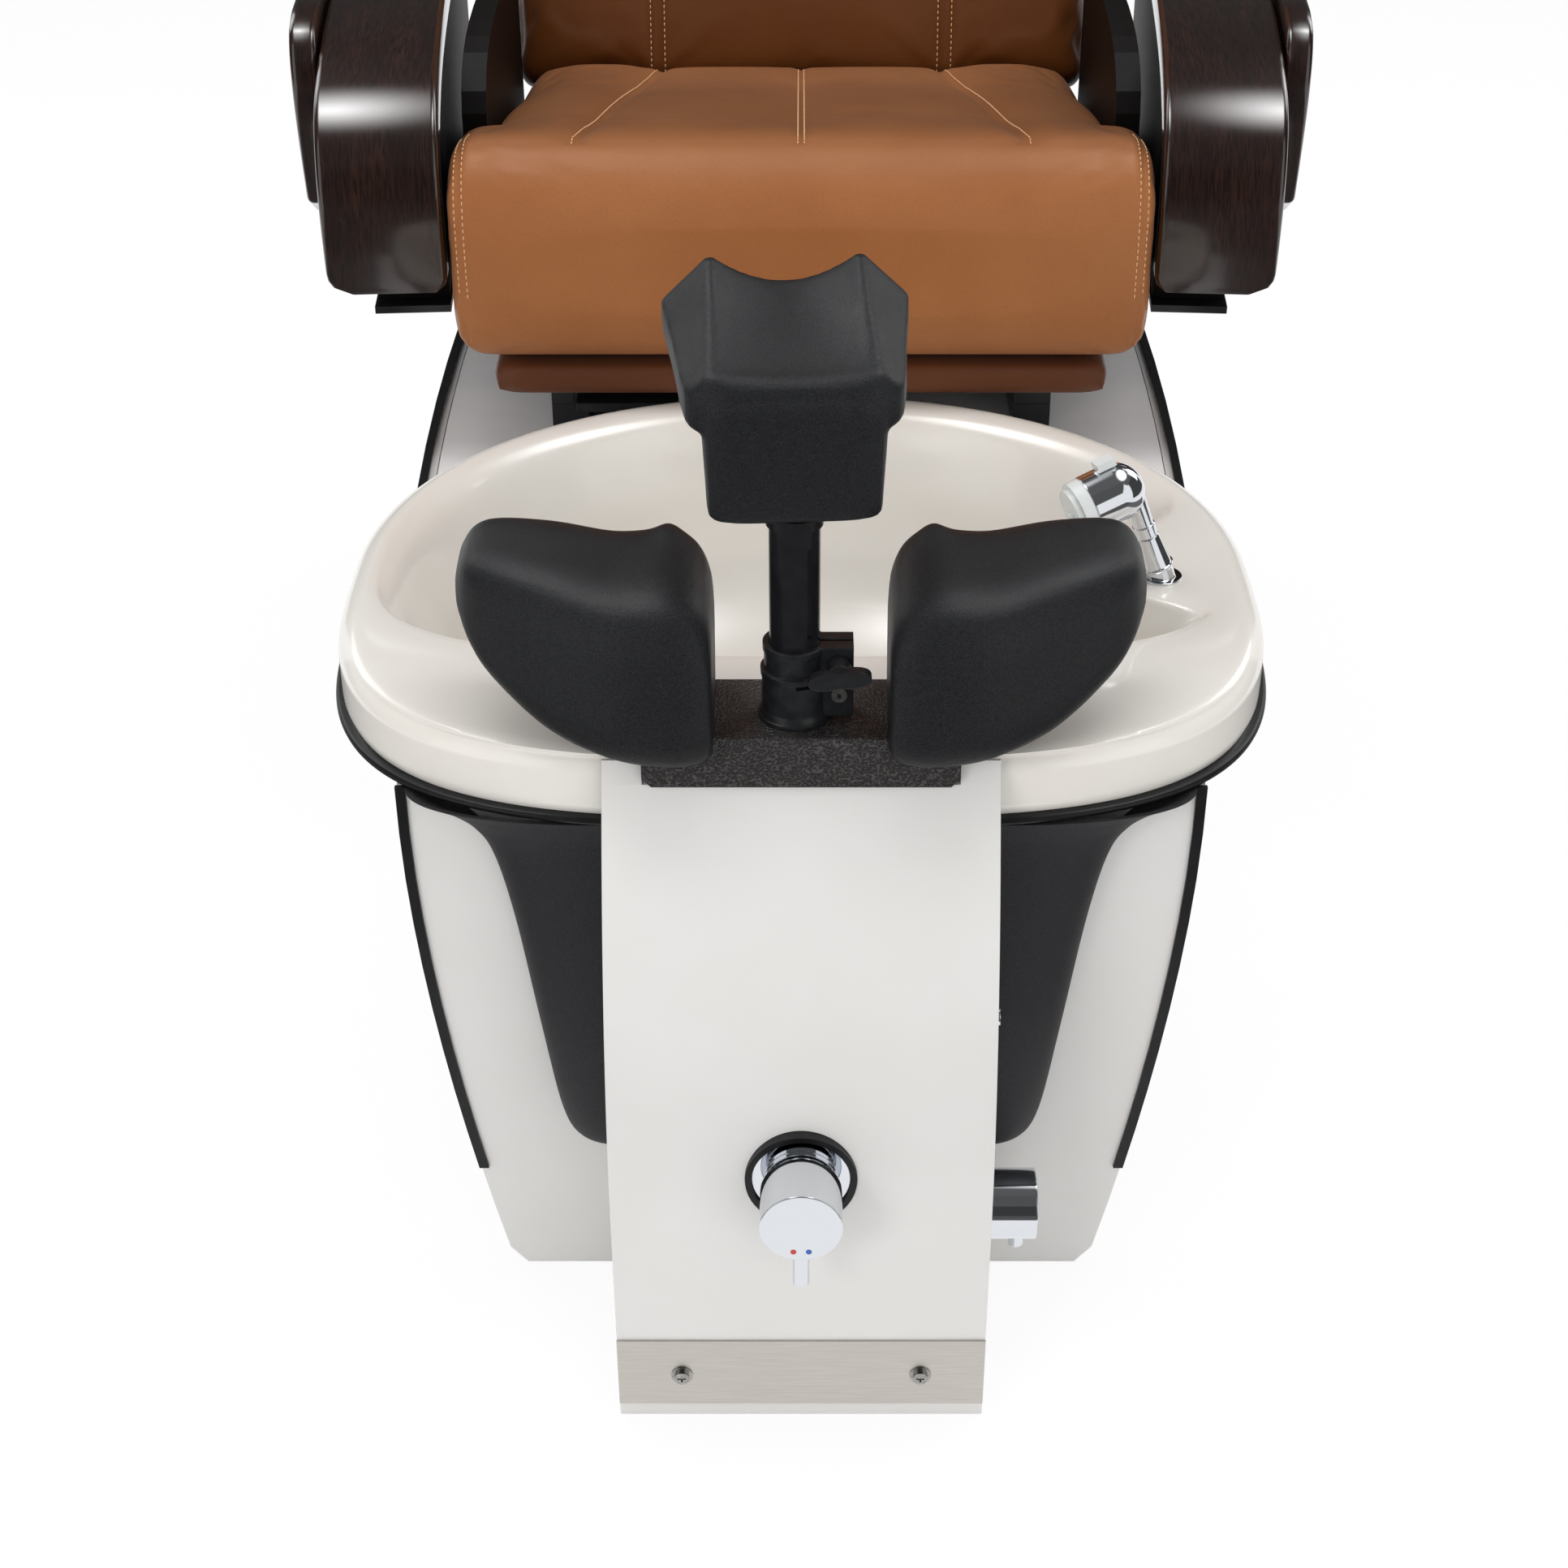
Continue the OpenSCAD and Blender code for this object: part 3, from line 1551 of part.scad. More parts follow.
module arm() {
    band = concat(arm_line(0), reversed(arm_line(arm_t)));
    r = 17;
    face = concat(
        [[arm_in, arm_z + 8], [arm_in + 8, arm_z]],
        [for (a = [-90 : 15 : 0]) [arm_out - r + r * cos(a), arm_z + r + r * sin(a)]],
        [[arm_out, pivot_z + 60], [arm_in, pivot_z + 60]]
    );
    color(wood)
        at_seat() at_arm() difference() {
            union() {
                intersection() {
                    along_x(band, arm_in, arm_out);
                    along_y(face, -100, pivot_y + 60);
                }
                translate([0, pivot_y, pivot_z]) rod_x(24, ear_x1 + 1, arm_out);
            }
            block(
                [arm_in - 1, pivot_y - 28, pivot_z - 60],
                [ear_x1 + 1, pivot_y + 60, pivot_z + 60]
            );
            translate([0, pivot_y, pivot_z]) rod_x(pin_r + run_gap, ear_x1 - 4, ear_x1 + 42);
        }
}

module right_arm() {
    arm();
}

module left_arm() {
    mirror([1, 0, 0]) arm();
}

// Black core under the band: it carries the pivot pin
module arm_core() {
    z0 = plate_z + arm_plate_t + touch;
    under = [for (p = arm_line(arm_t)) p + [2, -2]];
    outline = concat([[under[0][0], z0]], under, [[pivot_y - 14, z0]]);
    color(soft_black) at_seat() at_arm() {
        difference() {
            along_x(outline, arm_in + 1.5, arm_in + 60);
            translate([0, pivot_y, pivot_z]) rod_x(26, ear_x1, arm_out);
        }
        along_x(
            [
                [pivot_y - 15, z0], [pivot_y + 20, z0],
                [pivot_y + 20, pivot_z], [pivot_y - 15, pivot_z - 20]
            ],
            arm_in + 1.5, ear_x1
        );
        translate([0, pivot_y, pivot_z]) {
            rod_x(20, arm_in + 1.5, ear_x1);
            rod_x(pin_r, ear_x1 - 2, ear_x1 + 40);
        }
    }
}

module right_arm_core() {
    arm_core();
}

module left_arm_core() {
    mirror([1, 0, 0]) arm_core();
}

// Wooden cheeks outside the arms, on blocks that reach in to the cores
module outer_cheeks() {
    x0 = arm_out + 2;
    outline = concat(
        curve([60, arm_z + 40], [40, arm_z + 110], [30, arm_z + 160], [60, pivot_z + 16], 8),
        curve([90, pivot_z + 24], [250, pivot_z + 34], [400, pivot_z + 34], [540, pivot_z + 10], 8),
        [[560, pivot_z - 40], [540, arm_z + 20], [100, arm_z + 20]]
    );
    color(wood)
        at_seat() for (m = [0, 1])
            mirror([m, 0, 0]) at_arm() {
                along_x(outline, x0, x0 + 22);
                for (y = [150, 340])
                    block([arm_in + 60 + touch, y, arm_z + 30], [x0 + 1, y + 60, arm_z + 80]);
            }
}

// ---- Parts ----

base_plate();
front_board();
left_side_panel();
right_side_panel();
mid_bulkhead();
rear_cover();
deck();
edge_trim();
rim_gasket();
basin();
left_skirt();
right_skirt();
column_walls();
front_panel();
kickplate();
kickplate_screws();
mixer_gasket();
mixer_escutcheon();
mixer_body();
mixer_sleeve();
mixer_handle();
diverter_valve();
diverter_handle();
air_switch();
air_button();
drain_strainer();
drain_plug();
drain_pipe();
jet_motor();
jet_impeller();
jet_cover();
water_pipes();
spray_bush();
spray_collar();
spray_head();
spray_face();
footrest_plate();
footrest_screws();
post_collar();
wing_knob();
footrest_post();
pad_saddle();
centre_pad();
left_side_pad();
right_side_pad();
slide_rails();
seat_frame();
slide_lever();
seat_underpad();
seat_cushion();
inner_side_panels();
back_frame();
back_shell();
back_cushion();
headrest();
left_arm();
right_arm();
left_arm_core();
right_arm_core();
outer_cheeks();
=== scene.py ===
import math

import bmesh
import bpy
import numpy as np
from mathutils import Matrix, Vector
from mathutils.bvhtree import BVHTree

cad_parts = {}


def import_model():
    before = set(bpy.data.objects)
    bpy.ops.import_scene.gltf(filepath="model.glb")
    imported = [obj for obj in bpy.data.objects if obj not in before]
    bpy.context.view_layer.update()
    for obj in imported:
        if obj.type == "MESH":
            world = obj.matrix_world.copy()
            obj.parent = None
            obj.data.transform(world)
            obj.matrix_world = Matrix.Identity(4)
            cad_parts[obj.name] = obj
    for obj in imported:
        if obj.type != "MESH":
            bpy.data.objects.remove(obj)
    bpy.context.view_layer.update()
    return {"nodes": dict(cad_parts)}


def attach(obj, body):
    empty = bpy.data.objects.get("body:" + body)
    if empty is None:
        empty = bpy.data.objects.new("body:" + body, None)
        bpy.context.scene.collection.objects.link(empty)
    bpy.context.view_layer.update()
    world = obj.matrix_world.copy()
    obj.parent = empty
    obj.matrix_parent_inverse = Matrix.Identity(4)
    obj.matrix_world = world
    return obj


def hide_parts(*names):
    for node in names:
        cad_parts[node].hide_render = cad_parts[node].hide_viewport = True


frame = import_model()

scene = bpy.context.scene
MM = 0.001
# Share of the white world that lights the object; rays that show the background see all of it
WORLD_FILL = 0.68
# The floor's shade, the share of its own glow that those rays see, and that glow
FLOOR_GREY, FLOOR_SHARE, FLOOR_GLOW = 0.86, 0.86, 1.03
CARAMEL = (161, 103, 60)
# Materials by name
M = {}


# ---- Colours and materials ----

def rgb(color):
    """A screen colour, 0 to 255, as linear light."""
    out = [v / 255 for v in color]
    return (*(v / 12.92 if v <= 0.04045 else ((v + 0.055) / 1.055) ** 2.4 for v in out), 1.0)


def feed(tree, inputs, values):
    """Gives inputs a number, a screen colour or another node's result each."""
    for socket, v in zip(inputs, values):
        if isinstance(v, bpy.types.NodeSocket):
            tree.links.new(v, socket)
        else:
            socket.default_value = rgb(v) if isinstance(v, tuple) else v


def calc(tree, operation, *values):
    """The result of a math node."""
    n = tree.nodes.new("ShaderNodeMath")
    n.operation = operation
    feed(tree, n.inputs, values)
    return n.outputs[0]


class Mat:
    """A node material built up in a few words."""

    def __init__(self, name, color, rough, metal=0.0, coat=0.0, coat_rough=0.05, sheen=0.0, spec=0.5):
        M[name] = bpy.data.materials.new(name)
        M[name].use_nodes = True
        self.t = M[name].node_tree
        self.s = self.t.nodes["Principled BSDF"]
        looks = ("Base Color", "Roughness", "Metallic", "Coat Weight", "Coat Roughness",
                 "Sheen Weight", "Specular IOR Level")
        values = (color, rough, metal, coat, coat_rough, sheen, spec)
        feed(self.t, [self.s.inputs[k] for k in looks], values)
        self.coords = self.node("ShaderNodeTexCoord").outputs["Object"]
        self.normal = None

    def node(self, kind, **sets):
        n = self.t.nodes.new(kind)
        for k, v in sets.items():
            if k in n.inputs:
                n.inputs[k].default_value = v
            else:
                setattr(n, k, v)
        return n

    def link(self, a, b):
        self.t.links.new(a, b)

    def place(self, scale):
        """The object's own coordinates, scaled along each axis."""
        m = self.node("ShaderNodeMapping")
        m.inputs["Scale"].default_value = scale
        self.link(self.coords, m.inputs["Vector"])
        return m.outputs["Vector"]

    def noise(self, scale, detail=3.0, rough=0.5, stretch=(1, 1, 1)):
        n = self.node("ShaderNodeTexNoise", Scale=scale, Detail=detail, Roughness=rough)
        self.link(self.place(stretch), n.inputs["Vector"])
        return n.outputs["Fac"]

    def cells(self, scale):
        n = self.node("ShaderNodeTexVoronoi", Scale=scale)
        self.link(self.place((1, 1, 1)), n.inputs["Vector"])
        return n.outputs["Distance"]

    def step(self, value, start, end):
        """0 below the start, 1 above the end, and a soft step between."""
        n = self.node("ShaderNodeMapRange", interpolation_type="SMOOTHSTEP")
        feed(self.t, n.inputs[:3], (value, start, end))
        return n.outputs[0]

    def ramp(self, fac, stops):
        """Colours by place: three numbers are a screen colour, and four are linear light."""
        r = self.node("ShaderNodeValToRGB")
        e = r.color_ramp.elements
        stops = [(p, rgb(c) if len(c) == 3 else c) for p, c in stops]
        e[0].position, e[0].color = stops[0]
        e[1].position, e[1].color = stops[-1]
        for p, c in stops[1:-1]:
            e.new(p).color = c
        self.link(fac, r.inputs["Fac"])
        return r.outputs["Color"]

    def grey(self, fac, lo, hi, a=0.3, b=0.7):
        """Runs from lo, where fac is a, to hi, where it is b."""
        return self.ramp(fac, [(a, (lo, lo, lo, 1)), (b, (hi, hi, hi, 1))])

    def paint(self, color_socket):
        self.link(color_socket, self.s.inputs["Base Color"])

    def rough_range(self, fac, lo, hi):
        self.link(self.grey(fac, lo, hi), self.s.inputs["Roughness"])

    def soft_edges(self, radius):
        """Sharp edges shade as if rounded, in millimetres."""
        b = self.node("ShaderNodeBevel")
        b.samples = 6
        b.inputs["Radius"].default_value = radius * MM
        self.normal = b.outputs["Normal"]
        self.link(self.normal, self.s.inputs["Normal"])

    def bump(self, height, strength, distance):
        """Adds a relief to the bumps and soft edges so far."""
        b = self.node("ShaderNodeBump", Strength=strength, Distance=distance)
        self.link(height, b.inputs["Height"])
        if self.normal is not None:
            self.link(self.normal, b.inputs["Normal"])
        self.normal = b.outputs["Normal"]
        self.link(self.normal, self.s.inputs["Normal"])


def mix(mat, fac, a, b):
    """Colour a where fac is 0, and b where it is 1."""
    n = mat.node("ShaderNodeMix", data_type="RGBA")
    feed(mat.t, (n.inputs[0], n.inputs[6], n.inputs[7]), (fac, a, b))
    return n.outputs[2]


def plain(name, main, other, scale, detail, rough, grain=None, edge=0.0, fade=(0.35, 0.65), **look):
    """A colour that wanders to another one; grain is a bump's scale, detail, strength and depth."""
    m = Mat(name, main, rough, **look)
    if edge:
        m.soft_edges(edge)
    m.paint(m.ramp(m.noise(scale, detail, 0.55), [(fade[0], main), (fade[1], other)]))
    if grain:
        m.bump(m.noise(*grain[:2]), *grain[2:])


def two_tone(main, other):
    """A leather's base that wanders between two colours."""
    return lambda m, slow: m.ramp(slow, [(0.3, main), (0.7, other)])


def seat_base_painted_shade(m, slow):
    """Caramel on the seat's roll, and a painted shade on the top behind it: deeper browns that stand in
    for the top's darker light.
    """
    place = m.node("ShaderNodeSeparateXYZ")
    m.link(m.coords, place.inputs[0])
    # Mask for the painted shade: the seat's top behind the crease
    behind = m.step(place.outputs["Y"], -0.070, 0.010)
    above = m.step(place.outputs["Z"], 0.640, 0.690)
    roll = two_tone(CARAMEL, (152, 94, 52))(m, slow)
    # The painted shade's deeper browns on the seat's top
    top = two_tone((123, 74, 32), (112, 65, 26))(m, slow)
    return mix(m, calc(m.t, "MULTIPLY", behind, above), roll, top)


def leather(name, main, deep, base, pores=True):
    """Soft leather in the colour that base gives, with its grain sunk to the deep colour."""
    m = Mat(name, main, 0.47, sheen=0.04, spec=0.22)
    grain = m.cells(850.0)
    colour = base(m, m.noise(8.0, 4.0))
    m.paint(mix(m, m.grey(grain, 0.0, 0.22, 0.5, 0.95), colour, deep))
    m.rough_range(m.noise(22.0, 3.0), 0.42, 0.52)
    m.bump(m.noise(26.0, 3.0, 0.55), 0.10, 0.004)
    m.bump(grain, 0.16, 0.00035)
    if pores:
        m.bump(m.noise(2100.0, 2.0), 0.05, 0.0002)


def make_materials():
    plain("pearl", (229, 226, 220), (223, 218, 210), 5.0, 5.0, 0.27, (9.0, 2.0, 0.05, 0.002),
          fade=(0.3, 0.75), coat=0.6, coat_rough=0.07)
    plain("panel_white", (218, 217, 215), (216, 214, 211), 7.0, 3.0, 0.36, (420.0, 2.0, 0.035, 0.0003),
          coat=0.15, coat_rough=0.15)
    # Painted light: a brighter copy of the panels' white laminate for the deck, lifting its top and the
    # seat's shade on it
    plain("deck_white_painted_light", (246, 243, 242), (236, 234, 234), 7.0, 3.0, 0.36, (420.0, 2.0, 0.035, 0.0003),
          coat=0.15, coat_rough=0.12)
    plain("trim_black", (17, 17, 19), (23, 23, 25), 60.0, 3.0, 0.36, (700.0, 2.0, 0.08, 0.0003), 0.8,
          spec=0.3)
    plain("steel_black", (22, 22, 24), (28, 28, 31), 90.0, 2.0, 0.24, (900.0, 2.0, 0.06, 0.0002),
          coat=0.25, coat_rough=0.12, spec=0.35)
    plain("nylon_black", (24, 25, 27), (34, 35, 37), 130.0, 3.0, 0.34, (1100.0, 2.0, 0.12, 0.0003), 1.4,
          spec=0.4)
    plain("steel_screw", (176, 174, 170), (150, 148, 145), 300.0, 4.0, 0.2, edge=0.3, metal=1.0)
    plain("brass", (201, 160, 88), (186, 146, 78), 60.0, 4.0, 0.28, metal=1.0)
    plain("plastic_white", (226, 230, 229), (220, 224, 223), 40.0, 4.0, 0.24, (500.0, 3.0, 0.04, 0.0002),
          coat=0.4)
    plain("plastic_grey", (120, 122, 124), (108, 110, 112), 50.0, 4.0, 0.45, (500.0, 3.0, 0.06, 0.0002))
    plain("thread", (224, 176, 128), (206, 156, 108), 900.0, 4.0, 0.6, sheen=0.2)
    plain("mark_red", (196, 44, 44), (178, 36, 38), 300.0, 4.0, 0.35, coat=0.5)
    plain("mark_blue", (40, 92, 186), (34, 80, 168), 300.0, 4.0, 0.35, coat=0.5)

    m = Mat("skirt_black", (32, 32, 34), 0.52, spec=0.22)
    g = m.noise(1500.0, 2.0, 0.6)
    m.paint(m.ramp(g, [(0.35, (30, 30, 33)), (0.7, (50, 50, 53))]))
    m.bump(g, 0.5, 0.0005)

    m = Mat("core_black", (14, 12, 12), 0.5, spec=0.15)
    g = m.noise(1200.0, 2.0, 0.6)
    m.paint(m.ramp(g, [(0.35, (10, 9, 9)), (0.7, (22, 19, 18))]))
    m.bump(g, 0.3, 0.0004)

    m = Mat("plate_black", (30, 27, 26), 0.45, spec=0.45)
    m.soft_edges(1.5)
    g = m.cells(620.0)
    m.paint(m.ramp(g, [(0.1, (20, 18, 18)), (0.5, (38, 35, 34)), (0.9, (74, 72, 72))]))
    m.bump(g, 0.8, 0.0008)

    m = Mat("pad_skin", (29, 29, 31), 0.42, spec=0.18)
    g = m.noise(1150.0, 2.5, 0.65)
    m.paint(m.ramp(g, [(0.36, (22, 22, 24)), (0.66, (40, 41, 43))]))
    m.rough_range(m.noise(30.0, 3.0), 0.38, 0.46)
    m.bump(g, 0.42, 0.0005)

    m = Mat("steel_brushed", (200, 196, 189), 0.34, metal=1.0)
    m.soft_edges(0.5)
    g = m.noise(35.0, 4.0, 0.6, stretch=(1, 30, 60))
    m.paint(m.ramp(g, [(0.3, (190, 186, 178)), (0.7, (208, 204, 198))]))
    m.rough_range(g, 0.3, 0.42)
    m.bump(g, 0.05, 0.0003)

    m = Mat("chrome", (222, 225, 230), 0.045, metal=1.0)
    m.soft_edges(1.2)
    m.rough_range(m.noise(25.0, 3.0), 0.03, 0.07)

    m = Mat("plywood", (196, 162, 116), 0.6)
    g = m.noise(12.0, 6.0, 0.6, stretch=(1, 6, 40))
    m.paint(m.ramp(g, [(0.3, (204, 172, 126)), (0.7, (172, 134, 90))]))
    m.bump(g, 0.15, 0.0005)

    # Espresso veneer: fine dark pores and slow bands along the arm
    m = Mat("wood", (40, 22, 17), 0.24, coat=1.0, coat_rough=0.12, spec=0.5)
    band = m.noise(9.0, 5.0, 0.6, stretch=(7, 1, 1))
    fine = m.noise(60.0, 5.0, 0.65, stretch=(14, 1, 1))
    base = m.ramp(band, [(0.3, (30, 14, 9)), (0.55, (42, 21, 14)), (0.75, (54, 29, 20))])
    dark = m.grey(fine, 0.0, 1.0, 0.42, 0.56)
    m.paint(mix(m, dark, (20, 8, 6), base))
    m.bump(fine, 0.05, 0.0003)

    for name, main, other, deep in (
        ("leather", CARAMEL, (152, 94, 52), (137, 80, 40)),
        ("leather_back", (102, 56, 20), (94, 50, 16), (78, 40, 12)),
        ("leather_dark", (98, 56, 32), (88, 49, 27), (74, 39, 20)),
    ):
        leather(name, main, deep, two_tone(main, other))
    # The seat's leather, with painted shade on its top
    leather("leather_seat", CARAMEL, (117, 66, 29), seat_base_painted_shade, pores=False)


make_materials()


# ---- Mesh helpers; lengths in millimetres until a mesh is made ----

def spow(v, e):
    """A power that keeps the sign."""
    return np.sign(v) * np.abs(v) ** e


def smooth_rows(rows, steps):
    """Catmull-Rom through rows of any shape."""
    rows = [np.asarray(r, float) for r in rows]
    out = []
    for i in range(len(rows) - 1):
        p0, p1, p2, p3 = rows[max(i - 1, 0)], rows[i], rows[i + 1], rows[min(i + 2, len(rows) - 1)]
        for k in range(steps):
            t = k / steps
            out.append(p1 + 0.5 * t * (p2 - p0) + t * t * (p0 - 2.5 * p1 + 2 * p2 - 0.5 * p3)
                       + t ** 3 * (1.5 * (p1 - p2) + 0.5 * (p3 - p0)))
    out.append(rows[-1])
    return np.array(out)


def curve(a, b, c, d, n):
    """A Bezier curve through n + 1 points."""
    a, b, c, d = (np.asarray(p, float) for p in (a, b, c, d))
    return [s ** 3 * a + 3 * s * s * t * b + 3 * s * t * t * c + t ** 3 * d
            for t in np.linspace(0, 1, n + 1) for s in (1 - t,)]


def new_object(name, data):
    ob = bpy.data.objects.new(name, data)
    scene.collection.objects.link(ob)
    return ob


def add_mesh(name, verts, faces, mat, smooth=True, sharp=None):
    """An object out of points in millimetres; edges past the sharp angle in degrees stay sharp."""
    me = bpy.data.meshes.new(name)
    me.from_pydata([tuple(v) for v in np.asarray(verts) * MM], [], [tuple(f) for f in faces])
    me.validate()
    ob = new_object(name, me)
    me.materials.append(M[mat])
    turn_outward(ob)
    shade(ob, smooth, sharp)
    return ob


def turn_outward(ob):
    """Faces of a closed mesh look outward."""
    bm = bmesh.new()
    bm.from_mesh(ob.data)
    bmesh.ops.recalc_face_normals(bm, faces=bm.faces)
    bm.to_mesh(ob.data)
    bm.free()


def shade(ob, smooth=True, sharp=None):
    ob.data.polygons.foreach_set("use_smooth", [smooth] * len(ob.data.polygons))
    if sharp is not None and smooth:
        ob.data.set_sharp_from_angle(angle=math.radians(sharp))
    ob.data.update()


def bands(m, n, count, first=0):
    """Faces between rings of n points; after the last of m rings comes the first."""
    faces = []
    for j in range(count):
        here, there = first + j * n, first + (j + 1) % m * n
        faces += [[here + i, here + (i + 1) % n, there + (i + 1) % n, there + i] for i in range(n)]
    return faces


def loft(name, rings, mat, sharp=None):
    """Closed rings joined in order, with a fan at each end."""
    rings = np.asarray(rings, float)
    m, n = rings.shape[:2]
    verts = rings.reshape(-1, 3).tolist()
    faces = bands(m, n, m - 1)
    for base, k in ((0, 0), ((m - 1) * n, m - 1)):
        verts.append(rings[k].mean(0).tolist())
        faces += [[len(verts) - 1, base + i, base + (i + 1) % n] for i in range(n)]
    return add_mesh(name, verts, faces, mat, True, sharp)


def ring_loft(name, rings, mat, sharp=None):
    """Rings joined in order, and the last to the first, as a tube."""
    rings = np.asarray(rings, float)
    m, n = rings.shape[:2]
    return add_mesh(name, rings.reshape(-1, 3), bands(m, n, m), mat, True, sharp)


def thick_grid(name, outer, inner, mat, sharp):
    """A sheet with an outer and an inner grid of points, closed round its edge."""
    outer, inner = np.asarray(outer, float), np.asarray(inner, float)
    m, n = outer.shape[:2]
    verts = np.concatenate([outer.reshape(-1, 3), inner.reshape(-1, 3)])
    k = m * n
    faces = []
    for j in range(m - 1):
        for i in range(n - 1):
            a = j * n + i
            faces.append([a, a + 1, a + n + 1, a + n])
            faces.append([k + a, k + a + n, k + a + n + 1, k + a + 1])
    edge = (list(range(n)) + [j * n + n - 1 for j in range(1, m)]
            + [(m - 1) * n + i for i in range(n - 2, -1, -1)] + [j * n for j in range(m - 2, 0, -1)])
    for a, b in zip(edge, edge[1:] + edge[:1]):
        faces.append([a, k + a, k + b, b])
    return add_mesh(name, verts, faces, mat, True, sharp)


def box(name, a, b, mat):
    """A box between two opposite corners."""
    verts = [(x, y, z) for x in (a[0], b[0]) for y in (a[1], b[1]) for z in (a[2], b[2])]
    faces = [(0, 1, 3, 2), (4, 6, 7, 5), (0, 4, 5, 1), (2, 3, 7, 6), (0, 2, 6, 4), (1, 5, 7, 3)]
    return add_mesh(name, verts, faces, mat, False)


def bake(ob):
    """Applies an object's modifiers to its mesh."""
    deps = bpy.context.evaluated_depsgraph_get()
    me = bpy.data.meshes.new_from_object(ob.evaluated_get(deps))
    ob.modifiers.clear()
    ob.data = me


def bevel(ob, width, segments, angle):
    """Rounds the edges that are sharper than the angle in degrees."""
    b = ob.modifiers.new("bevel", "BEVEL")
    b.width, b.segments, b.limit_method = width * MM, segments, "ANGLE"
    b.angle_limit = math.radians(angle)
    b.harden_normals = False
    bake(ob)
    shade(ob, True, 50)
    return ob


def coords(ob):
    """A mesh's points in metres, as rows."""
    co = np.empty(len(ob.data.vertices) * 3)
    ob.data.vertices.foreach_get("co", co)
    return co.reshape(-1, 3)


def set_coords(ob, co):
    ob.data.vertices.foreach_set("co", np.asarray(co, float).ravel())
    ob.data.update()


def joined(name, parts):
    """One object out of several meshes of one material each."""
    verts, faces, mats, index = [], [], [], []
    for p in parts:
        base, mat = len(verts), p.data.materials[0]
        verts += [tuple(v.co) for v in p.data.vertices]
        faces += [[base + i for i in f.vertices] for f in p.data.polygons]
        if mat not in mats:
            mats.append(mat)
        index += [mats.index(mat)] * len(p.data.polygons)
    me = bpy.data.meshes.new(name)
    me.from_pydata(verts, [], faces)
    for mat in mats:
        me.materials.append(mat)
    me.polygons.foreach_set("material_index", index)
    ob = new_object(name, me)
    for p in parts:
        bpy.data.objects.remove(p)
    shade(ob, True, 40)
    return ob


def turned(name, profile, mat, axis, at, n):
    """A solid of revolution about x or y: profile rows are place along the axis and radius."""
    a = np.linspace(0, 2 * np.pi, n, endpoint=False)
    rings = []
    for p, r in profile:
        u, v = r * np.cos(a), r * np.sin(a)
        w = np.full(n, float(p))
        xyz = {"x": (w, u, v), "y": (u, w, v)}[axis]
        rings.append(np.stack(xyz, 1) + np.asarray(at, float))
    return loft(name, rings, mat, 30)


# ---- Camera, floor and light ----

cam_data = bpy.data.cameras.new("camera")
cam_data.lens = 55.9
cam_data.sensor_width = 36.0
cam_data.shift_x = -0.0109
cam = new_object("camera", cam_data)
cam.location = (0, -1.945, 1.289)
cam.rotation_euler = (math.radians(58), 0, 0)
scene.camera = cam
scene.view_settings.view_transform = "Standard"


def clear_rays(tree):
    """1 for camera, glossy and transmission rays, which see a plain white background."""
    path = tree.nodes.new("ShaderNodeLightPath")
    seen = path.outputs["Is Camera Ray"]
    for ray in ("Is Glossy Ray", "Is Transmission Ray"):
        seen = calc(tree, "MAXIMUM", seen, path.outputs[ray])
    return seen


def card(name, x, y):
    """A flat rectangle of half width x and half length y, its node tree and that tree's output."""
    me = bpy.data.meshes.new(name)
    me.from_pydata([(-x, -y, 0), (x, -y, 0), (x, y, 0), (-x, y, 0)], [], [(0, 1, 2, 3)])
    m = bpy.data.materials.new(name)
    m.use_nodes = True
    me.materials.append(m)
    m.node_tree.nodes.clear()
    out = m.node_tree.nodes.new("ShaderNodeOutputMaterial")
    return new_object(name, me), m.node_tree, out.inputs["Surface"]


def floor():
    """A pale floor that shows white, with only the object's shadow on it."""
    ob, t, out = card("floor", 14, 14)
    diffuse = t.nodes.new("ShaderNodeBsdfDiffuse")
    diffuse.inputs["Color"].default_value = (FLOOR_GREY, FLOOR_GREY, FLOOR_GREY, 1)
    glow = t.nodes.new("ShaderNodeEmission")
    glow.inputs["Color"].default_value = (1, 1, 1, 1)
    glow.inputs["Strength"].default_value = FLOOR_GLOW
    share = t.nodes.new("ShaderNodeMixShader")
    amount = calc(t, "MULTIPLY", clear_rays(t), FLOOR_SHARE)
    feed(t, share.inputs, (amount, diffuse.outputs[0], glow.outputs[0]))
    t.links.new(share.outputs[0], out)


def world():
    """A white background that lights the object with a share of its strength."""
    w = bpy.data.worlds.new("world")
    scene.world = w
    w.use_nodes = True
    t = w.node_tree
    bg = t.nodes["Background"]
    bg.inputs["Color"].default_value = (1, 1, 1, 1)
    strength = calc(t, "MULTIPLY_ADD", clear_rays(t), 1.0 - WORLD_FILL, WORLD_FILL)
    t.links.new(strength, bg.inputs["Strength"])


def aimed(ob, place, aim):
    """Puts an object at a place with its -Z towards the aim."""
    ob.location = place
    ob.rotation_mode = "QUATERNION"
    ob.rotation_quaternion = (Vector(aim) - Vector(place)).to_track_quat("-Z", "Y")


def lamp(name, place, aim, size, power, mirrored=True):
    """An area lamp; one that isn't mirrored shows in no reflection."""
    d = bpy.data.lights.new(name, "AREA")
    d.shape = "RECTANGLE"
    d.size, d.size_y = size
    d.energy = power
    ob = new_object(name, d)
    aimed(ob, place, aim)
    ob.visible_glossy = mirrored


